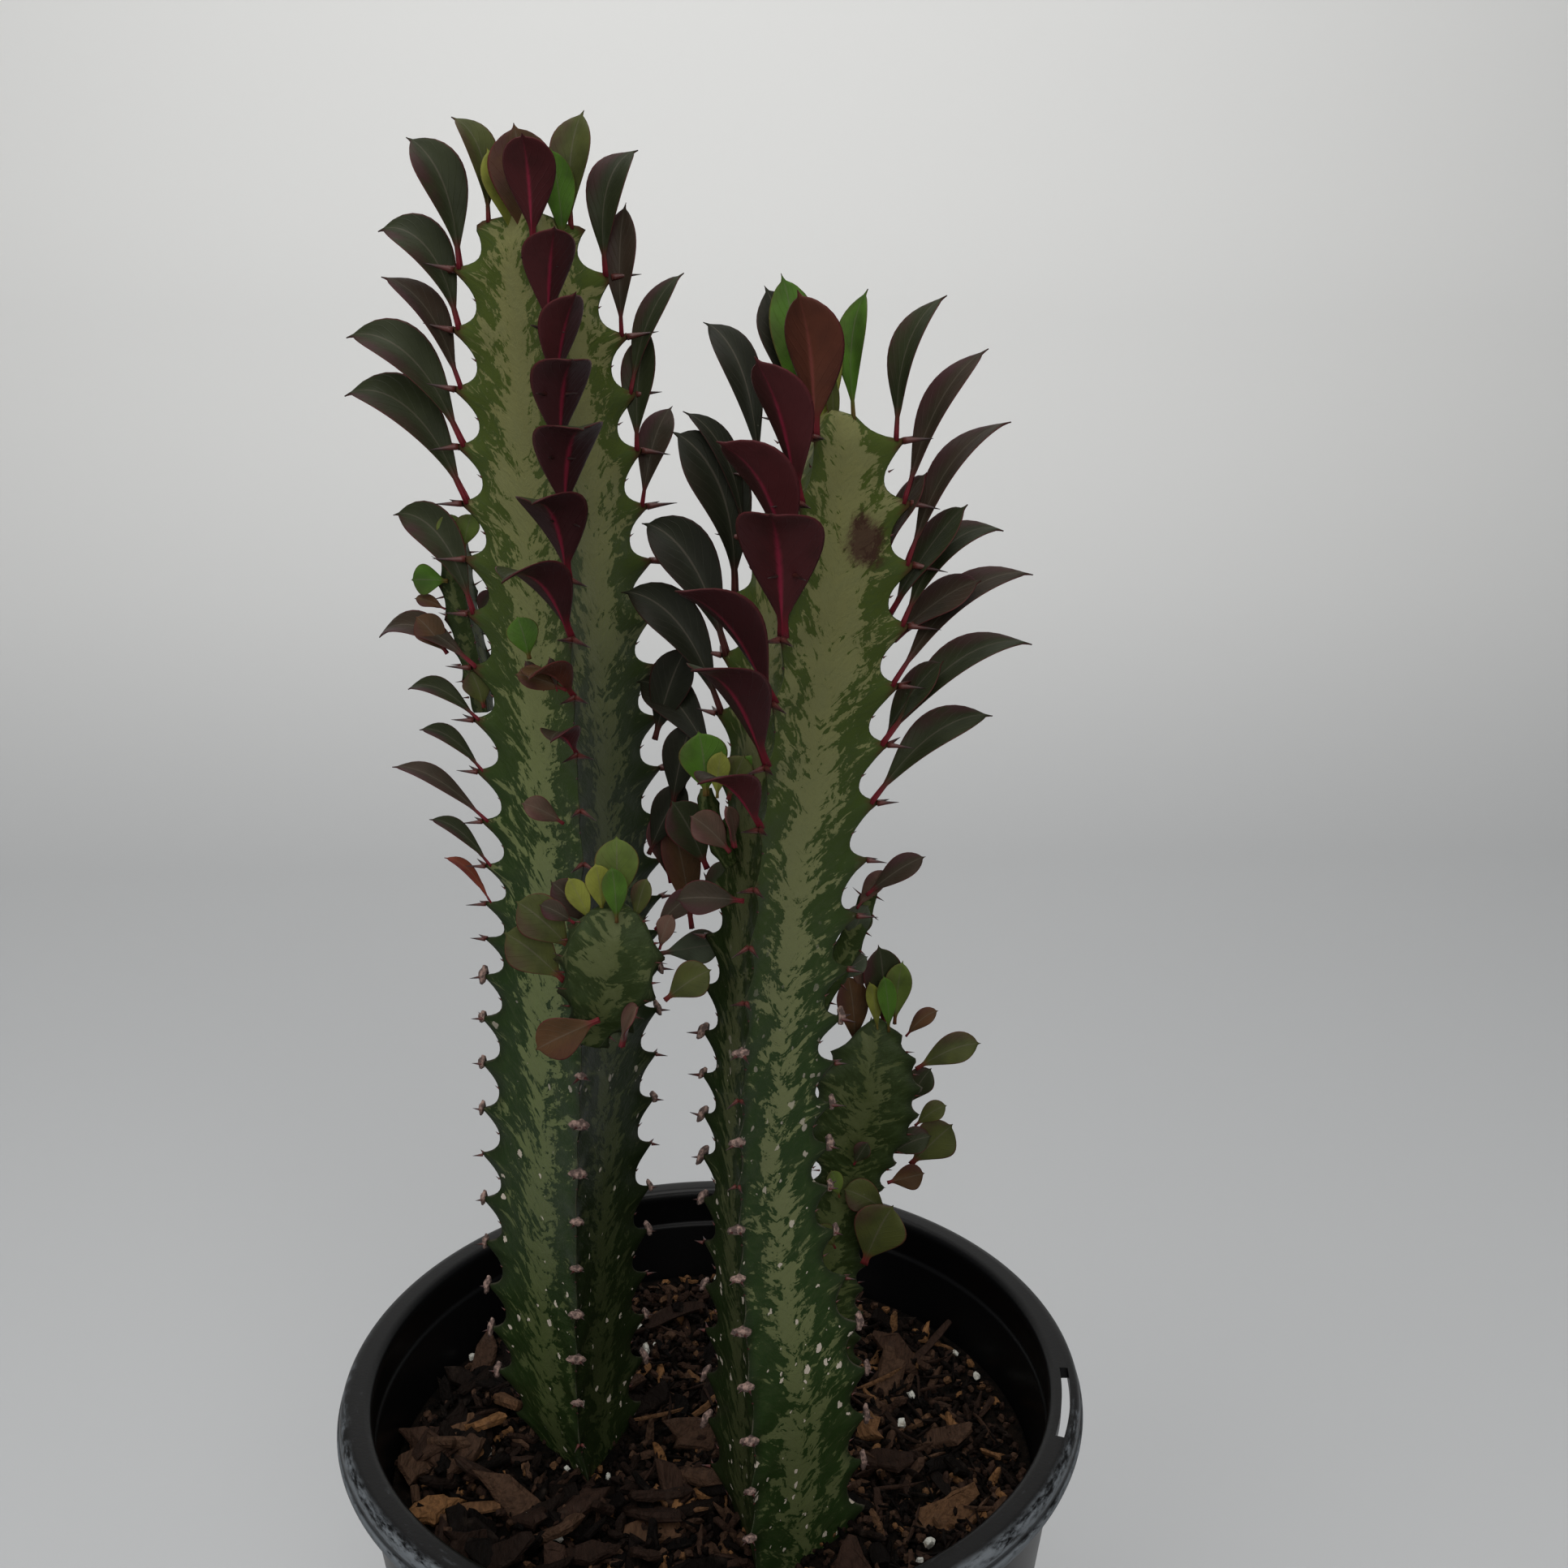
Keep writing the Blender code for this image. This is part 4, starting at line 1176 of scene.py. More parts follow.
@dataclass
class PottingMix:
    """Block of bark mix with chips, crumbs, fibres and perlite on top."""

    stems: tuple[tuple[float, float, float], ...]
    ring_count: int = 96
    sides: int = 200
    under: tuple[tuple[float, float], ...] = ((0.0694, 0.0058), (0.0681, 0.0035))

    def bare(self, x: np.ndarray, y: np.ndarray, margin: float, blur: float) -> np.ndarray:
        """Return 1 where the mix lies open and 0 at the stems and the wall.

        Args:
            x: places in millimetres.
            y: places in millimetres.
            margin: how far from a stem or the wall the mask starts.
            blur: over what distance it rises.

        Returns:
            The mask.
        """
        mask = np.clip((MIX_RADIUS / MM - np.hypot(x, y) - margin * 0.8) / blur, 0, 1)
        for sx, sy, radius in self.stems:
            mask = mask * np.clip((np.hypot(x - sx, y - sy) - radius - margin) / blur, 0, 1)
        return mask

    def height(self, x: np.ndarray, y: np.ndarray) -> np.ndarray:
        """Return the surface's height above the level of the mix in millimetres."""
        wave = np.sin(x * 0.17 + 1.3) * np.cos(y * 0.21 + 0.4) + 0.6 * np.sin((x + y) * 0.33 + 2.1)
        grit = 0.5 * np.sin(x * 0.9 + 2 * np.sin(y * 0.45)) * np.cos(y * 1.1 + 1.7 * np.sin(x * 0.37))
        return (1.6 * wave + grit) * self.bare(x, y, 3.0, 12.0)

    def surface(self, name: str) -> bpy.types.Object:
        """Return the block of mix as an object with its masks."""
        radii = MIX_RADIUS * np.linspace(0, 1, self.ring_count + 1)[1:] / MM
        turns = np.arange(self.sides) * 2 * math.pi / self.sides
        x, y = np.outer(radii, np.cos(turns)), np.outer(radii, np.sin(turns))
        z = self.height(x, y)
        top = np.stack((x, y, z), axis=-1)[::-1].reshape(-1, 3) * MM + (0, 0, MIX_LEVEL)
        low = [np.stack((r * np.cos(turns), r * np.sin(turns), np.full(self.sides, h)), axis=1)
               for r, h in reversed(self.under)]
        points = np.vstack((*low, top, [[0, 0, MIX_LEVEL + float(self.height(0.0, 0.0)) * MM]]))
        count = len(low) + self.ring_count
        faces = tube_faces(count, self.sides)[:-1]
        faces += fan_faces((count - 1) * self.sides, self.sides, len(points) - 1)
        batch = Batch()
        px, py = points[:, 0] / MM, points[:, 1] / MM
        topside = (points[:, 2] > MIX_LEVEL - 0.02).astype(float)
        coarse = np.clip((30 - px + 0.9 * -py) / 60, 0.08, 1) * topside
        batch.add(points, faces, chips=self.bare(px, py, 5.0, 3.0) * coarse,
                  crumbs=self.bare(px, py, -12.0, 2.0) * topside * (np.hypot(px, py) < 85.5),
                  slivers=self.bare(px, py, -1.0, 3.0) * topside * (np.hypot(px, py) < 82),
                  fibres=self.bare(px, py, 5.0, 4.0) * topside * np.clip((px + 60) / 90, 0.15, 1))
        return batch.make(name, MixEarth().material())

    def shards(self, seed: int, count: int, slender: float, thin: float, flat: float,
               sides: int = 9) -> bpy.types.Collection:
        """Return a collection of chip shapes about one unit long.

        Args:
            seed: which random draw to use.
            count: how many shapes.
            slender: width over length.
            thin: thickness over length.
            flat: how smooth the outline is, from 0 to 1.
            sides: corners of the outline.

        Returns:
            The collection, kept out of the scene.
        """
        draw = np.random.default_rng(seed)
        found = bpy.data.collections.new(f"shards_{seed}")
        layers = ((0.86, -0.5), (1.0, -0.15), (0.98, 0.25), (0.80, 0.5))
        layers = layers if sides > 6 else ((0.9, -0.5), (1.0, 0.1), (0.7, 0.5))
        for k in range(count):
            turns = np.sort(draw.uniform(-0.25, 0.25, sides) + np.arange(sides) * 2 * math.pi / sides)
            reach = 0.5 * draw.uniform(flat, 1.0, sides)
            outline = np.stack((np.cos(turns) * reach, np.sin(turns) * reach * slender
                                * draw.uniform(0.7, 1.3)), axis=1)
            arch, lean = draw.uniform(-0.25, 0.35), draw.uniform(-0.15, 0.15)
            rings = []
            for share, level in layers:
                spot = outline * share * draw.uniform(0.94, 1.06, (sides, 1))
                rise = level * thin * draw.uniform(0.7, 1.2, sides)
                rise = rise + arch * spot[:, 0] ** 2 + lean * spot[:, 1]
                rings.append(np.column_stack((spot, rise)))
            batch = Batch()
            batch.add(np.vstack(rings), tube_faces(len(layers), sides))
            shape = batch.make(f"shard_{seed}_{k}", bpy.data.materials[0])
            shape.data.shade_flat()
            bpy.context.scene.collection.objects.unlink(shape)
            found.objects.link(shape)
        return found

    def strew(self, name: str, shapes: bpy.types.Collection, material: bpy.types.Material,
              tree: bpy.types.NodeTree, **inputs: object) -> bpy.types.Object:
        """Strew shapes over the mix and return them as one piece.

        Args:
            name: the piece's name.
            shapes: the shapes to choose from.
            material: their finish.
            tree: the strewing tree.
            inputs: its other inputs.

        Returns:
            The piece.
        """
        ground = self.surface(f"{name}_ground")
        ground.modifiers.new("strew", "NODES").node_group = tree
        made = plain_mesh(ground, name, Shapes=shapes, Material=material, **inputs)
        for shape in list(shapes.objects):
            bpy.data.objects.remove(shape)
        bpy.data.collections.remove(shapes)
        return dressed(made, "potting_mix")

    def build(self) -> None:
        """Build the mix and everything strewn on it."""
        tree, bark = strewn_tree(), Bark().material()
        dressed(self.surface("bark_mix"), "potting_mix", "soil")
        self.strew("chips_large", self.shards(11, 10, 0.40, 0.11, 0.5, 11), bark, tree, Density=17000.0,
                   Seed=3, Smallest=0.010, Largest=0.028, Tilt=0.75, Lift=0.0032, Mask="chips")
        self.strew("chips_small", self.shards(12, 8, 0.32, 0.16, 0.45), bark, tree, Density=90000.0, Seed=5,
                   Smallest=0.004, Largest=0.012, Tilt=0.95, Lift=0.0016, Mask="slivers")
        self.strew("crumbs", self.shards(13, 6, 0.7, 0.5, 0.6, 6), bark, tree, Density=210000.0, Seed=8,
                   Smallest=0.0012, Largest=0.0036, Tilt=1.2, Lift=0.0010, Mask="crumbs")
        self.strew("fibres", self.shards(14, 6, 0.08, 0.06, 0.6, 6), bark, tree, Density=26000.0, Seed=9,
                   Smallest=0.007, Largest=0.018, Tilt=0.5, Lift=0.0026, Mask="fibres")
        self.strew("perlite", self.shards(15, 6, 0.9, 0.75, 0.75, 8), Mineral().material(), tree,
                   Density=2600.0, Seed=21, Smallest=0.0016, Largest=0.0042, Tilt=1.2, Lift=0.0022,
                   Mask="crumbs")


@dataclass
class Litter:
    """Larger bark pieces and a twig, listed one by one.

    Each is x, y, height, heading, pitch, length, width and shade.
    """

    pieces: tuple[tuple[float, ...], ...]
    sides: int = 8
    stations: int = 7

    def build(self) -> bpy.types.Object:
        """Return the pieces as one object."""
        draw = np.random.default_rng(SEED)
        batch = Batch()
        for x, y, height, azimuth, pitch, length, width, shade in self.pieces:
            slope = math.radians(pitch)
            ahead = heading(azimuth) * math.cos(slope) + np.array((0, 0, math.sin(slope)))
            side = unit(np.cross(ahead, (0, 0, 1)))
            up = np.cross(side, ahead)
            rings, bow = [], draw.uniform(-0.06, 0.10)
            for k in range(self.stations):
                t = k / (self.stations - 1)
                swell = 0.35 + 0.65 * math.sin(math.pi * (0.12 + 0.76 * t))
                half = width / 2 * swell * draw.uniform(0.85, 1.1)
                centre = (np.array((x, y, height)) + ahead * length * (t - 0.5)
                          + up * bow * length * math.sin(math.pi * t))
                for n in range(self.sides):
                    turn = 2 * math.pi * (n + 0.5) / self.sides
                    thick = max(0.9, min(width * 0.26, 2.6)) * draw.uniform(0.75, 1.2)
                    rings.append(centre + side * half * math.cos(turn) * draw.uniform(0.9, 1.08)
                                 + up * thick * 0.6 * math.sin(turn))
            faces = [tuple(reversed(face)) for face in tube_faces(self.stations, self.sides)]
            batch.add(in_place(np.array(rings)), faces, shade=np.full(len(rings), shade))
        made = batch.make("bark_litter", Bark().material())
        made.data.set_sharp_from_angle(angle=math.radians(32))
        return dressed(made, "potting_mix")


@dataclass
class Prickles:
    """Spines and corky scars gathered as points with an aim and a size."""

    points: list[np.ndarray] = field(default_factory=list)
    aims: list[np.ndarray] = field(default_factory=list)
    sizes: list[float] = field(default_factory=list)
    girths: list[float] = field(default_factory=list)

    def add(self, point: np.ndarray, aim: np.ndarray, size: float, girth: float) -> None:
        """Add one, in millimetres above the mix."""
        self.points.append(point)
        self.aims.append(unit(aim))
        self.sizes.append(size)
        self.girths.append(girth)

    def build(self, name: str, shape: bpy.types.Object, material: bpy.types.Material,
              tree: bpy.types.NodeTree) -> bpy.types.Object:
        """Stand the shape on every point.

        Args:
            name: the piece's name.
            shape: one unit high, standing on the origin.
            material: its finish.
            tree: the placing tree.

        Returns:
            The piece.
        """
        mesh = bpy.data.meshes.new(name)
        mesh.from_pydata(in_place(np.array(self.points)).tolist(), [], [])
        aims = mesh.attributes.new("aim", "FLOAT_VECTOR", "POINT")
        aims.data.foreach_set("vector", np.array(self.aims).ravel())
        mesh.attributes.new("size", "FLOAT", "POINT").data.foreach_set("value", self.sizes)
        mesh.attributes.new("thick", "FLOAT", "POINT").data.foreach_set("value", self.girths)
        seeds = put(name, mesh)
        seeds.modifiers.new("stand", "NODES").node_group = tree
        made = plain_mesh(seeds, name, Shape=shape, Material=material, Length=MM, Girth=MM)
        bpy.data.objects.remove(shape)
        return dressed(made, "stem_skin")

    @staticmethod
    def spine() -> bpy.types.Object:
        """Return a slightly hooked cone."""
        rings = [(0.5, -0.08), (0.42, 0.1), (0.28, 0.4), (0.15, 0.72), (0.03, 1.0)]
        points = [(r * math.cos(k * math.pi / 3) + 0.10 * z * z, r * math.sin(k * math.pi / 3), z)
                  for r, z in rings for k in range(6)]
        batch = Batch()
        batch.add(np.array(points), tube_faces(5, 6), tip=np.repeat([z for _, z in rings], 6).clip(0, 1))
        return batch.make("spine_shape", bpy.data.materials[0])

    @staticmethod
    def scab() -> bpy.types.Object:
        """Return a lumpy low dome."""
        draw = np.random.default_rng(SEED)
        rings = [(0.42, -0.3), (0.52, 0.0), (0.46, 0.22), (0.30, 0.38), (0.10, 0.46)]
        points = [(r * draw.uniform(0.9, 1.9) * math.cos(k * math.pi / 5),
                   r * draw.uniform(0.5, 1.1) * math.sin(k * math.pi / 5), z * draw.uniform(0.5, 1.2))
                  for r, z in rings for k in range(10)]
        batch = Batch()
        batch.add(np.array(points), tube_faces(5, 10))
        return batch.make("scab_shape", bpy.data.materials[0])


@dataclass
class Foliage:
    """Leaves of one part of the plant, joined into one piece."""

    name: str
    nodes: tuple[str, ...] = ()
    batch: Batch = field(default_factory=Batch)

    def on_rib(self, stem: Stem, rows: Iterable[LeafRow]) -> None:
        """Grow leaves from a stem's teeth.

        Args:
            stem: the stem.
            rows: rib, tooth, length, rise, swing, roll, width, bend and tone.
        """
        for rib, number, length, rise, swing, roll, width, bend, tone in rows:
            base, azimuth = stem.tooth_point(rib, number, -3.4 if number < 0.6 else -0.9)
            vary = math.sin(number * 2.3 + azimuth)
            edge_on = rib == "right"
            twist = -30 + 12 * vary if edge_on else 12 * vary
            slim = {"right": 0.80, "back": 0.84}.get(rib, 1.03)
            Leaf(tuple(base), azimuth + swing, length * 1.04 + 1.5, rise, width * slim,
                 roll * (0.95 if edge_on else 1.0) - twist * 0.4, bend * (1.7 if edge_on else 1.45) + 8, tone,
                 twist=twist, round=0.66 if rib == "front" else 0.76).surface(self.batch)

    def free(self, rows: Iterable[FreeLeaf]) -> None:
        """Grow leaves from points: x, y, height, azimuth, length, rise, width, roll, bend and tone."""
        for x, y, height, azimuth, length, rise, width, roll, bend, tone in rows:
            leaf = Leaf((x, y, height), azimuth, length, rise, width, roll, bend, tone, fold=18, round=0.62)
            leaf.surface(self.batch)

    def build(self, material: bpy.types.Material) -> bpy.types.Object:
        """Return the joined piece."""
        return dressed(self.batch.make(self.name, material), "leaf_skin", *self.nodes)


# Short names for the leaf tables below.
D, W, B, Y, G, L, O, S, K, P = (Tone.DARK, Tone.WINE, Tone.BROWN, Tone.YOUNG, Tone.BRIGHT, Tone.YELLOW,
                                Tone.OLIVE, Tone.GREY, Tone.BLACK, Tone.PINK)


@dataclass
class Plant:
    """The whole euphorbia: stems, shoots, leaves and spines."""

    left: Stem = field(default_factory=lambda: Stem(
        "stem_left",
        ((-36, 1.5, 0, 14.5), (-38.5, 1.5, 22, 19), (-37.5, 1, 73, 21), (-35, 0.5, 120, 21.5),
         (-32.5, 0, 165, 20.5), (-33, -0.5, 207, 20.5), (-33.5, -1, 246, 20), (-35, -1.5, 284, 18.5),
         (-36.3, -2, 304, 16.3), (-38, -2, 318, 12.2), (-38, -2, 325, 6)),
        {"front": (8, 0.05), "right": (128, 0.1), "left": (-112, 0.0)},
        312, 13.35, (22, 158, 3.8), (4, 1.4, 120, 80)))
    right: Stem = field(default_factory=lambda: Stem(
        "stem_right",
        ((17.5, -37, 0, 18.5), (15, -37, 13, 19.5), (15, -37, 47, 20), (11, -36.5, 93, 14.5),
         (12, -36, 136, 14.5), (15.5, -35.5, 176, 16.5), (19.5, -35, 214, 18.5), (22, -34.5, 232, 19),
         (24, -34.5, 250, 18), (25.5, -34, 265, 15), (27.3, -34, 276.5, 11), (28, -34, 282, 5)),
        {"front": (-16, -0.15), "right": (104, 0.0), "back": (-136, -0.4)},
        275, 13.6, (32, 125, 3), (3.2, 1.6, 110, 90), 286))
    short: Stem = field(default_factory=lambda: Stem(
        "stem_short",
        ((30, 31, 0, 13), (31, 31, 28, 12), (35, 30, 54, 10), (40, 30, 70, 10), (42.5, 30, 86, 15),
         (44, 30, 100, 14.5), (46, 30, 111, 8), (47, 30, 115, 3)),
        {"left": (-62, 0.0), "right": (58, 0.3), "back": (178, 0.6)}, 108, 8, (20, 40, 0), (1.6, 0, 0, 1)))
    shoots: tuple[Shoot, ...] = (
        Shoot("shoot_front", ((-28.6, -29.2, 137, 3), (-27, -31.5, 142, 4.5), (-24.5, -35, 150, 8.5),
                              (-22.5, -36, 159, 11.5), (-21.5, -36, 167, 11), (-21, -36, 173, 6)),
              58, 8.5, 3.0),
        Shoot("shoot_left", ((-55.5, 15, 208, 3), (-57.5, 16, 222, 4), (-60, 16.5, 236, 4.5),
                             (-60.5, 16.5, 247, 4), (-59.5, 16, 252, 2)), 20, 8, 1.2),
        Shoot("shoot_middle", ((5.5, -35, 182, 2), (2.5, -34.5, 188, 2.6), (0.5, -34, 195, 2.6),
                               (0, -34, 200, 1.5)), 0, 6, 0.8),
        Shoot("shoot_right", ((24.5, -24.5, 139, 2.5), (29, -22, 146, 3.2), (33.5, -20, 154, 3.5),
                              (37, -19, 162, 3.2), (40, -18.5, 170, 1.8)), 30, 7, 1.0))
    left_rows: tuple[LeafRow, ...] = (
        ("left", 0, 23, 70, 0, -30, 9, 40, O), ("left", 1, 30, 67, 0, -42, 12, 35, D),
        ("left", 2, 31, 47, 0, -40, 12, 60, D), ("left", 3, 30, 54, 8, -32, 10, 35, W),
        ("left", 4, 40, 39, 0, -38, 13, 50, D), ("left", 5, 42, 37, 0, -38, 14, 55, D),
        ("left", 7, 33, 45, -6, -46, 11, 55, D), ("left", 8, 30, 10, -6, -34, 9, 50, W),
        ("left", 9, 20, 18, 0, -26, 7, 40, D), ("left", 10, 19, 28, 0, -22, 6, 35, D),
        ("left", 11, 28, 24, 0, -22, 7, 25, W), ("left", 12, 19, 32, 0, -20, 5.5, 30, D),
        ("left", 13, 16, 40, 0, -20, 3.6, 34, Tone.WITHERED),
        ("front", 0.5, 21, 72, -14, 0, 12, 30, W), ("front", 2, 22, 58, 8, 0, 12, 25, W),
        ("front", 3, 22, 60, 24, 0, 11, 20, W), ("front", 4, 24, 56, 12, 5, 14, 45, D),
        ("front", 5, 26, 50, 14, 0, 16, 60, D), ("front", 6, 25, 46, -28, 5, 16, 60, D),
        ("front", 7, 29, 32, -40, 12, 15, 60, D), ("front", 8, 17, 22, -40, 10, 11, 50, B),
        ("front", 9, 15, 22, -26, 8, 9, 50, W),
        ("right", 0, 24, 80, 0, 45, 13, 15, O), ("right", 1, 30, 70, 0, 42, 13, 40, D),
        ("right", 2, 28, 84, 20, 30, 11, 10, W), ("right", 3, 30, 62, -10, 30, 11, 20, D),
        ("right", 4, 27, 78, 10, 34, 12, 15, D), ("right", 5, 25, 62, 14, 36, 11, 20, W))
    right_rows: tuple[LeafRow, ...] = (
        ("right", 0.45, 25, 84, 0, 50, 10, 15, G), ("right", 1, 31, 70, 0, 32, 12, 30, D),
        ("right", 2, 36, 60, 0, 30, 12, 20, W), ("right", 3, 38, 52, 0, 30, 12, 30, W),
        ("right", 4, 32, 40, 0, 34, 13, 45, D), ("right", 5, 41, 35, 0, 32, 13, 35, W),
        ("right", 6, 42, 30, 0, 38, 14, 35, D), ("right", 7, 34, 32, 0, 40, 14, 30, D),
        ("front", 1, 27, 80, -36, 24, 14, 12, B), ("front", 2, 29, 68, -38, 10, 14, 15, W),
        ("front", 3, 30, 58, -50, 25, 15, 35, W), ("front", 4, 30, 60, 4, 0, 19, 40, W),
        ("front", 5, 34, 46, -38, 10, 15, 30, D), ("front", 6, 36, 42, -18, 5, 16, 35, D),
        ("front", 7, 24, 34, -24, 5, 13, 40, W),
        # The back rib's leaves are painted near black as painted shade.
        ("back", 1, 28, 72, 0, -44, 13, 15, K), ("back", 2, 37, 62, 0, -38, 11, 40, K),
        ("back", 3, 30, 62, 24, -30, 9, 35, K), ("back", 4, 39, 68, 28, -50, 18, 40, K),
        ("back", 5, 37, 50, 10, -48, 17, 40, K), ("back", 6, 37, 46, 20, -48, 15, 45, K),
        ("back", 7, 32, 32, 0, -44, 14, 40, K))
    crown: tuple[FreeLeaf, ...] = (
        (-41, -1, 319, -90, 21, 74, 9, -60, 10, L), (-31, 2, 319, -90, 21, 84, 9, -60, 10, G),
        (-38.5, -4, 318, -95, 26, 86, 15, -78, 10, B), (-38, 3, 321, 60, 14, 80, 6, 30, 10, Y),
        (23, -27, 278, -110, 34, 80, 11, -66, 12, G), (26, -33, 274, -90, 32, 86, 10, -80, 10, L),
        (28, -34, 275, -90, 19, 86, 4, -60, 10, O), (26, -38, 277, -90, 6, 40, 2.5, -60, 10, P))
    shoot_rows: tuple[FreeLeaf, ...] = (
        (-20.5, -34, 172, 180, 17, 84, 10.5, 0, 15, Y), (-24, -37, 172, -90, 12, 84, 6.5, -78, 10, L),
        (-26.5, -38, 170, -90, 12, 66, 5.5, -75, 10, L), (-20.5, -41, 171, -90, 13.5, 86, 6.2, -80, 10, G),
        (-16.5, -38, 170, 90, 11, 74, 5, 75, 10, O), (-27, -35, 168, -90, 14, 52, 8, -70, 20, W),
        (-31, -39, 164, -90, 17, 44, 11, -72, 20, O), (-33, -38, 156, -90, 18, 42, 11.5, -75, 20, O),
        (-10, -41, 152, 90, 13, 34, 9, 72, 20, O), (-25, -42, 148, -90, 16.5, -26, 10.5, -80, 10, B),
        (-20, -44, 142, 60, 12, 66, 8, 40, 30, P), (-11, -40, 164, 90, 9, 70, 5, 60, 10, P),
        (-30, -41, 171, -90, 9, 30, 5, -60, 20, W), (-12, -38, 168, 100, 13, 40, 6, 60, 25, W),
        (-63, 15, 241, -90, 9, 2, 8, -82, 10, G), (-60.5, 14, 249, -90, 9, 74, 6.5, -78, 10, Y),
        (-58.5, 14, 249, 90, 9, 74, 6.5, 78, 10, Y), (-64, 14, 223, -90, 12, 52, 8, -70, 20, B),
        (-55.5, 13, 231, 90, 9, 60, 6, 70, 20, W), (-55, 10, 210, -90, 10, 72, 7.5, -78, 20, O),
        (-64, 15, 234, -90, 8, 20, 4, -50, 20, B),
        (0, -36, 199, -90, 15, 84, 11.5, -80, 10, G), (2.5, -38, 199, 90, 11, 84, 5.5, 80, 10, L),
        (5, -36, 198, 90, 11, 70, 8, 76, 10, O), (7.5, -35, 199, 90, 10, 64, 6, 70, 15, G),
        (49, 32, 112, -90, 25, 86, 12, -80, 12, D), (52, 30, 114, 90, 19, 84, 8, 78, 10, Y),
        (50, 27, 113, -90, 17, 84, 6, -80, 10, G), (47, 28, 113, -90, 15, 80, 4.5, -76, 10, L),
        (55, 28, 111, 90, 12, 40, 5, 60, 40, B), (58, 28, 101, 90, 20, 22, 9, 62, 35, O),
        (56, 28, 90, 90, 13, 60, 8, 72, 20, D), (58, 27, 84, 90, 11, 34, 6, 60, 30, O),
        (57, 27, 72, 90, 17, 46, 13, 80, 10, O), (50, 25, 76, 90, 14, 24, 8, 60, 30, D),
        (50, 24, 68, 90, 11, 14, 8, 80, 10, B), (50, 22, 60, -90, 15, 30, 10, -74, 25, O),
        (43, 18, 46, 90, 20, 66, 16, 78, 15, O), (41, 33, 106, -90, 22, 84, 10, -72, 12, B),
        (43, 34, 122, -90, 12, 80, 6, -70, 10, P), (36, 20, 66, -90, 9, 74, 5, -76, 10, Y),
        (35, 20, 50, -90, 9, 60, 5, -70, 10, O), (40, 20, 76, 90, 8, 60, 5, 70, 10, D),
        (38, -22, 170, 90, 17, 34, 6.5, 55, 20, W), (36, -20, 166, 90, 12, 52, 5, 60, 20, P),
        (34, -20, 156, 90, 12, 66, 7, 70, 20, S), (31, -22, 148, 90, 10, 40, 6, 60, 20, S))
    middle_rows: tuple[FreeLeaf, ...] = (
        (-4, -10, 158, -90, 30, 80, 10, -70, 12, B), (0, -18, 176, -90, 19, 64, 11, -74, 15, D),
        (-12, -6, 150, 90, 16, 8, 9, 74, 10, S), (-9, -10, 170, -90, 18, 76, 8, -60, 15, W),
        # The three K leaves between the stems are painted near black as painted shade.
        (-2, -22, 168, 90, 14, 50, 7, 60, 15, D), (-14, -12, 178, 90, 20, 62, 9, 70, 15, K),
        (-8, -14, 190, 90, 22, 76, 10, 70, 15, K), (-12, -10, 206, 90, 24, 70, 11, 70, 15, K),
        (8, -51, 179, -90, 15, 2, 8, -64, 20, W), (5, -50, 190, -90, 12, 44, 8, -60, 20, P),
        (6, -50, 191, -60, 10, 78, 7, -50, 10, P), (-33, -26, 190, -80, 11, 30, 6, -60, 20, P),
        (-31, -29, 222, -80, 12, 20, 6, -60, 15, B), (-39, -28, 229, -90, 10, 76, 7.5, -80, 10, G),
        (-36, -29, 222, -90, 8, 60, 3, -60, 10, W), (-33, -30, 222, -90, 8, 80, 2.5, -60, 10, W),
        (42, -26, 238, 80, 30, 56, 12, 35, 15, D), (43, -26, 232, 80, 24, 36, 12, 35, 25, W),
        (41, -26, 208, 80, 24, 56, 11, 35, 20, D), (40, -26, 250, 80, 22, 64, 9, 35, 15, W))
    litter: tuple[tuple[float, ...], ...] = (
        (-68, -26, 3.0, 100, 4, 24, 5.5, 0.97), (61, 35, 4.5, 131, 14, 32, 3.2, 0.80),
        (-34, -64, 3.2, 70, 8, 22, 13, 0.93), (-27, -55, 4.6, 95, 4, 14, 5, 0.72),
        (16, -68, 4.5, 20, 42, 12, 11, 0.62), (37, -60, 4.0, 40, 12, 20, 3.2, 0.70),
        (43, -55, 4.0, 70, 10, 16, 3.0, 0.62), (41, -46, 3.2, 10, 0, 7, 6, 0.30),
        (-60, 38, 3.0, 60, 6, 18, 8, 0.55), (-12, 60, 3.0, 110, 8, 20, 7, 0.74),
        (5, -5, 2.8, 40, 4, 17, 6, 0.66), (-66, 8, 3.0, 20, 10, 16, 7, 0.60),
        (-58, -48, 3.2, 130, 6, 18, 8, 0.70), (0, 25, 3.0, 160, 6, 16, 5, 0.58),
        (60, -20, 3.0, 15, 8, 14, 4, 0.50), (22, 66, 3.0, 80, 6, 16, 6, 0.64))

    def build(self) -> None:
        """Build every piece of the plant."""
        leaf = LeafSkin().material()
        self.skins()
        for stem, rows, side in ((self.left, self.left_rows, "left"), (self.right, self.right_rows, "right")):
            for rib in stem.ribs:
                chosen = [row for row in rows if row[0] == rib]
                nodes = tuple(f"leaf_{side}_{rib}_{round(row[1]):02d}"
                              for row in chosen if row[-1] != Tone.WITHERED)
                group = Foliage(f"leaves_{side}_{rib}", nodes)
                group.on_rib(stem, chosen)
                group.build(leaf)
        for name, rows in (("leaves_crown", self.crown), ("leaves_shoots", self.shoot_rows),
                           ("leaves_between", self.middle_rows)):
            group = Foliage(name)
            group.free(rows)
            group.build(leaf)
        self.spines()

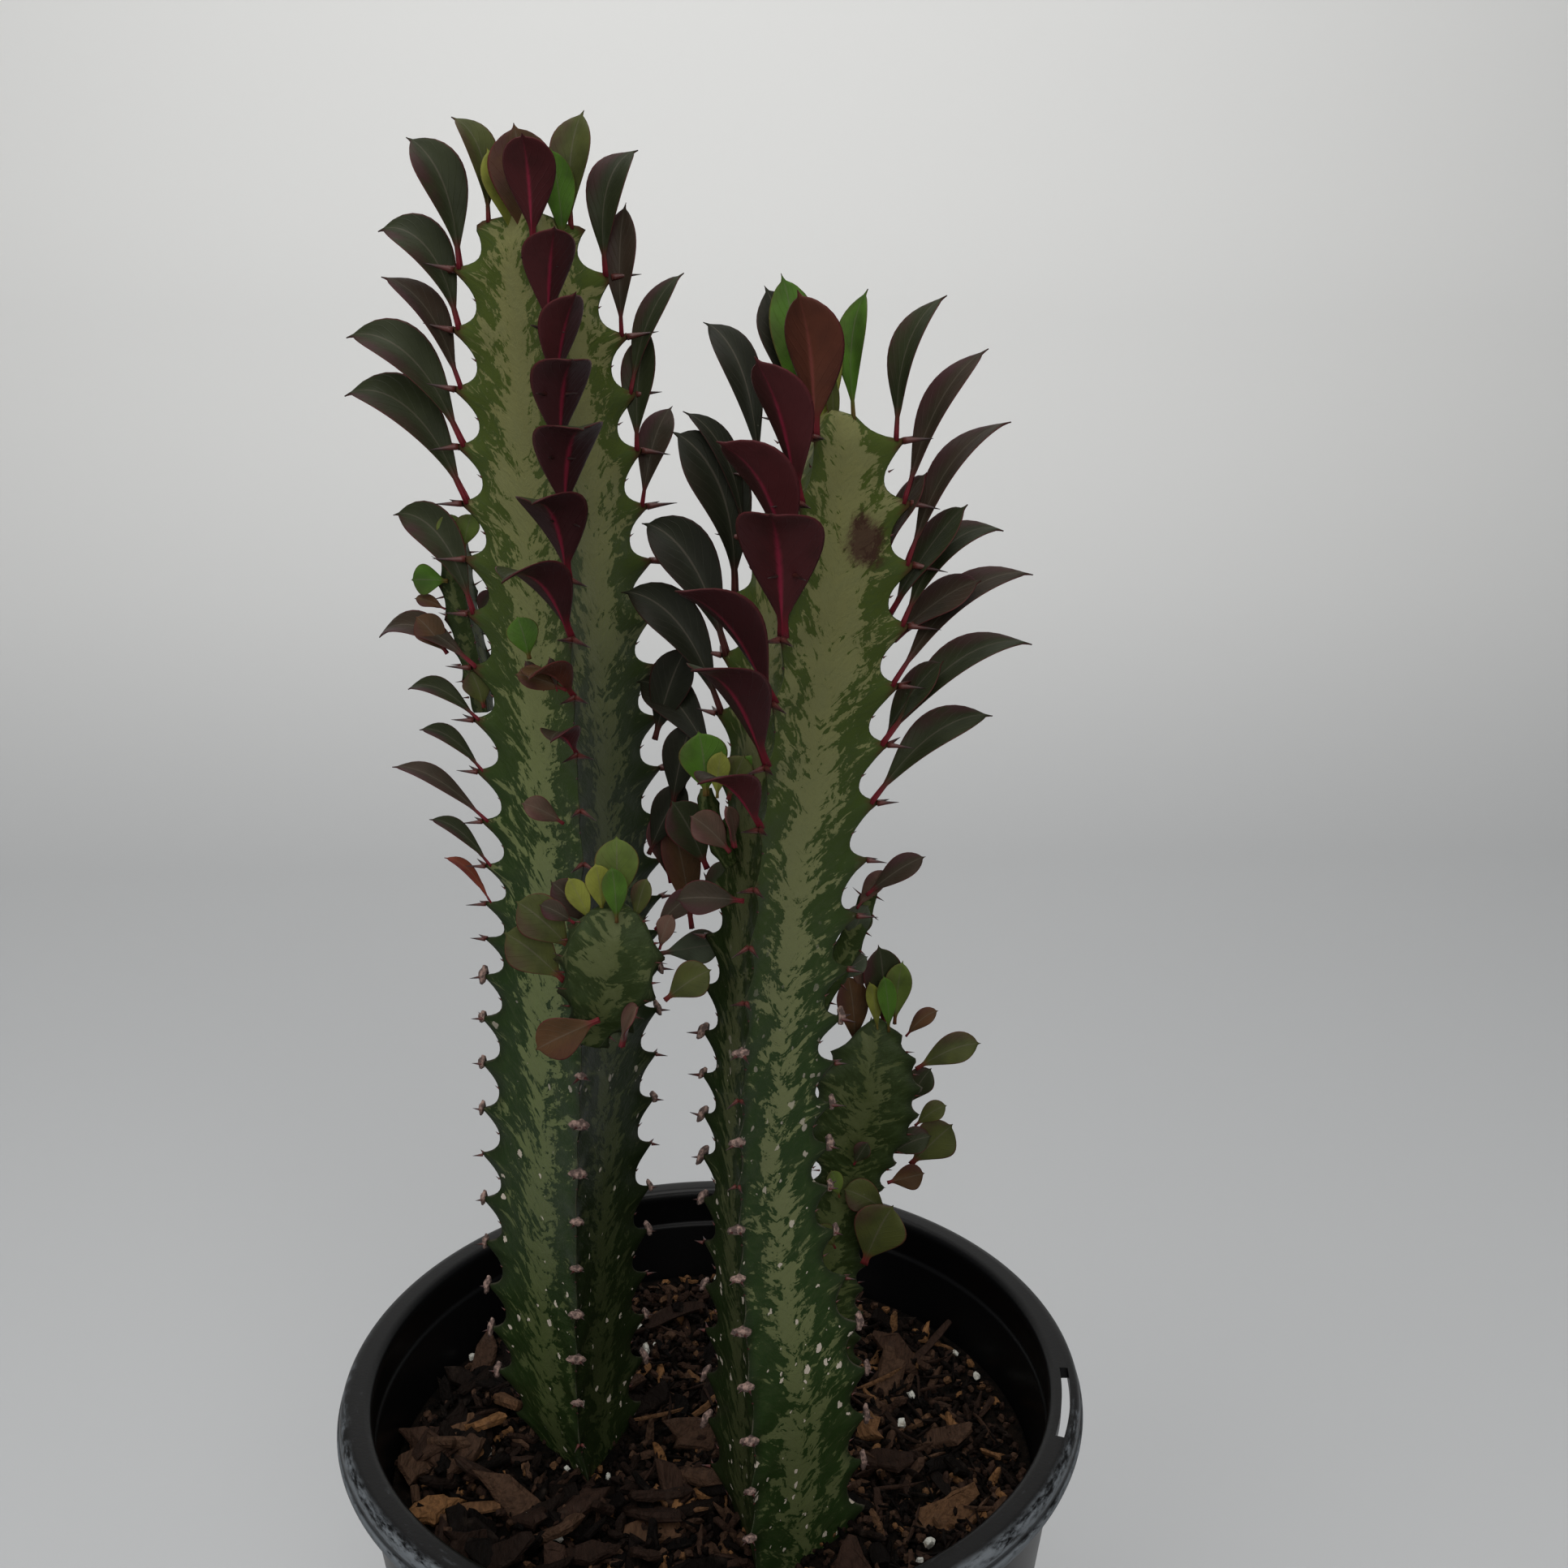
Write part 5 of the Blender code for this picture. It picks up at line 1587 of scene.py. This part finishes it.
    def skins(self) -> None:
        """Build the stems and shoots."""
        plain = StemSkin("shoot_skin", (0.046, 0.056, 0.018), (0.017, 0.026, 0.007),
                         open_top=(900.0, 999.0)).material()
        left = StemSkin("left_skin", specks=0.6, low_shade=0.42, shaded_face=1.0,
                        bruises=(((-0.038, -0.020, 0.263), 0.0030),)).material()
        spots = (((0.036, -0.036, 0.404), 0.0075), ((0.0295, -0.046, 0.365), 0.0028))
        # The right stem's pale is painted lighter than the left's, as painted light for the front lamps
        # reaching it more.
        right = StemSkin("right_skin", (0.132, 0.148, 0.064), (0.017, 0.034, 0.009), specks=1.3,
                         open_top=(120.0, 270.0), low_shade=0.20, shaded_face=0.0, bruises=spots).material()
        for stem, material in ((self.left, left), (self.right, right), (self.short, plain)):
            batch = Batch()
            stem.surface(batch)
            dressed(batch.make(f"{stem.name}_skin", material), "stem_skin", stem.name)
        batch = Batch()
        for shoot in self.shoots:
            shoot.surface(batch)
        dressed(batch.make("shoots", plain), "stem_skin", *(shoot.name for shoot in self.shoots))

    def spines(self) -> None:
        """Stand spines on the teeth and corky scars on the old ones."""
        draw = np.random.default_rng(SEED)
        horns, scabs = Prickles(), Prickles()
        self.tall_spines(draw, horns, scabs)
        self.young_spines(draw, horns)
        tree = placed_tree()
        horns.build("spines", Prickles.spine(), Horn().material(), tree)
        scabs.build("tooth_scars", Prickles.scab(), Cork().material(), tree)

    def tall_spines(self, draw: np.random.Generator, horns: Prickles, scabs: Prickles) -> None:
        """Gather the spines and scars of the tall stems.

        Args:
            draw: the random draw.
            horns: where spines are gathered.
            scabs: where scars are gathered.
        """
        oldest_bare, scab_top, scab_odds = 8, 150, 0.85
        for stem in (self.left, self.right):
            for rib in stem.ribs:
                for number in range(1, 30):
                    point, azimuth = stem.tooth_point(rib, number, stem.proud - 0.9)
                    if point[2] < oldest_bare:
                        break
                    out, side = heading(azimuth), heading(azimuth + 90)
                    young = min(max((point[2] - 90) / 160, 0.0), 1.0)
                    for turn in (-1, 1):
                        aim = out + side * turn * draw.uniform(0.45, 0.75)
                        aim = aim + np.array((0, 0, draw.uniform(-0.25, 0.25)))
                        horns.add(point + side * turn * 0.5 + np.array((0, 0, -0.5)), aim,
                                  (2.4 + 4.0 * young) * draw.uniform(0.8, 1.15), 1.0 + 0.7 * young)
                    notch, _ = stem.tooth_point(rib, number + 0.42, -stem.tooth_height(point[2]) + 0.2)
                    horns.add(notch, out + np.array((0, 0, 0.5)), draw.uniform(0.9, 1.6), 0.55)
                    if point[2] < scab_top and draw.uniform() < scab_odds:
                        length, girth = 2.4 * draw.uniform(0.7, 1.2), draw.uniform(2.0, 3.6)
                        scabs.add(point + out * 0.1, out, length, girth)

    def young_spines(self, draw: np.random.Generator, horns: Prickles) -> None:
        """Gather the spines of the side shoots and the short stem."""
        for shoot in (self.shoots[0], self.shoots[1], self.shoots[3]):
            low, high = shoot.knots[0][2] + 4, shoot.knots[-1][2]
            for height in np.arange(low, high, 4.2):
                for rib in range(3):
                    point, out = shoot.rib_point(rib, float(height + rib), 0.4)
                    aim = out + np.array((0, 0, draw.uniform(-0.2, 0.5)))
                    horns.add(point, aim, draw.uniform(1.8, 3.2), 0.6)
        for height in np.arange(30, 112, 6.0):
            for azimuth, _ in self.short.ribs.values():
                x, y, radius = self.short.path.at(height)[0]
                out = heading(azimuth)
                horns.add(np.array((x, y, height)) + out * (radius + 0.8),
                          out + np.array((0, 0, draw.uniform(0, 0.6))), draw.uniform(1.6, 3.4), 0.6)


@dataclass(frozen=True)
class Lamp:
    """A square area lamp: where it hangs, what it faces, its side in metres and its power in watts."""

    name: str
    place: Colour
    towards: Colour
    size: float
    watts: float
    colour: Colour = (1.0, 0.985, 0.96)

    def hang(self) -> None:
        """Add the lamp to the scene."""
        light = bpy.data.lights.new(self.name, "AREA")
        light.size, light.energy, light.color = self.size, self.watts, self.colour
        lamp = put(self.name, light)
        lamp.location = self.place
        aim = Vector(self.towards) - Vector(self.place)
        lamp.rotation_euler = aim.to_track_quat("-Z", "Y").to_euler()


@dataclass
class Studio:
    """Pale floor that curves up behind, soft lamps and the camera."""

    eye: tuple[float, float, float] = (0.0, -0.3773, 0.440)
    yaw: float = math.radians(2.94)
    pitch: float = math.radians(14.79)
    lens: float = 36.1
    # One paper, painted darker on the floor and near white up the backdrop: painted light.
    floor: Colour = (0.415, 0.425, 0.437)
    wall: Colour = (0.84, 0.845, 0.84)
    sky: Colour = (0.80, 0.82, 0.84)
    sky_strength: float = 0.18
    lamps: tuple[Lamp, ...] = (
        Lamp("overhead", (-0.1, -0.3, 1.5), (0, 0, 0.2), 1.2, 13.0),
        Lamp("window_left", (-1.1, -1.1, 1.0), (0, 0, 0.3), 1.2, 7.0),
        Lamp("front_key", (0.25, -1.5, 1.0), (0, 0, 0.30), 1.0, 13.0),
        Lamp("backdrop_wash", (0.0, 0.5, 2.1), (0, 1.5, 0.6), 1.8, 15.0))

    def build(self) -> None:
        """Build the floor, the lamps, the sky and the camera."""
        self.sweep()
        for lamp in self.lamps:
            lamp.hang()
        world = bpy.data.worlds.new("studio")
        world.use_nodes = True
        glow = world.node_tree.nodes["Background"]
        glow.inputs[0].default_value, glow.inputs[1].default_value = (*self.sky, 1.0), self.sky_strength
        bpy.context.scene.world = world
        bpy.context.scene.view_settings.view_transform = "Standard"
        camera = bpy.data.cameras.new("camera")
        camera.sensor_width, camera.lens, camera.clip_start = 36.0, self.lens, 0.01
        seat = put("camera", camera)
        seat.location = self.eye
        seat.rotation_euler = (math.pi / 2 - self.pitch, 0.0, -self.yaw)
        bpy.context.scene.camera = seat

    def sweep(self) -> None:
        """Build the floor and the backdrop as one sheet."""
        bend, back, half = 0.5, 1.5, 3.0
        profile = [(-2.5, 0.0), (back - bend, 0.0)]
        profile += [(back - bend + bend * math.sin(a), bend - bend * math.cos(a))
                    for a in np.linspace(0, math.pi / 2, 24)[1:]]
        profile.append((back, 3.0))
        points = np.array([(x, y, z) for y, z in profile for x in (-half, half)])
        batch = Batch()
        batch.add(points, [(2 * k, 2 * k + 1, 2 * k + 3, 2 * k + 2) for k in range(len(profile) - 1)])
        paint = Paint("studio_paper")
        soft = paint.noise(3.0, 2)
        away, up = paint.axis(1), paint.axis(2)
        shade = paint.mix(soft * 0.3, self.floor, tuple(c * 0.95 for c in self.floor))
        # Painted light: the sheet grows lighter upwards and backwards, standing in for the lamps' fall-off.
        shade = paint.mix((up + (away - 0.4).clip() * 0.3).ramp(0.0, 0.95), shade, self.wall)
        batch.make("floor", paint.finish(shade, 0.95, Specular_IOR_Level=0.1))


def main() -> None:
    """Build the studio, the pot and the plant."""
    logging.basicConfig(level=logging.INFO, format="%(name)s %(message)s")
    Studio().build()
    Pot().build()
    plant = Plant()
    feet = tuple((stem.knots[0][0], stem.knots[0][1], stem.knots[1][3] * FOOT_SHARE)
                 for stem in (plant.left, plant.right, plant.short))
    PottingMix(feet).build()
    Litter(plant.litter).build()
    plant.build()


if __name__ == "__main__":
    main()
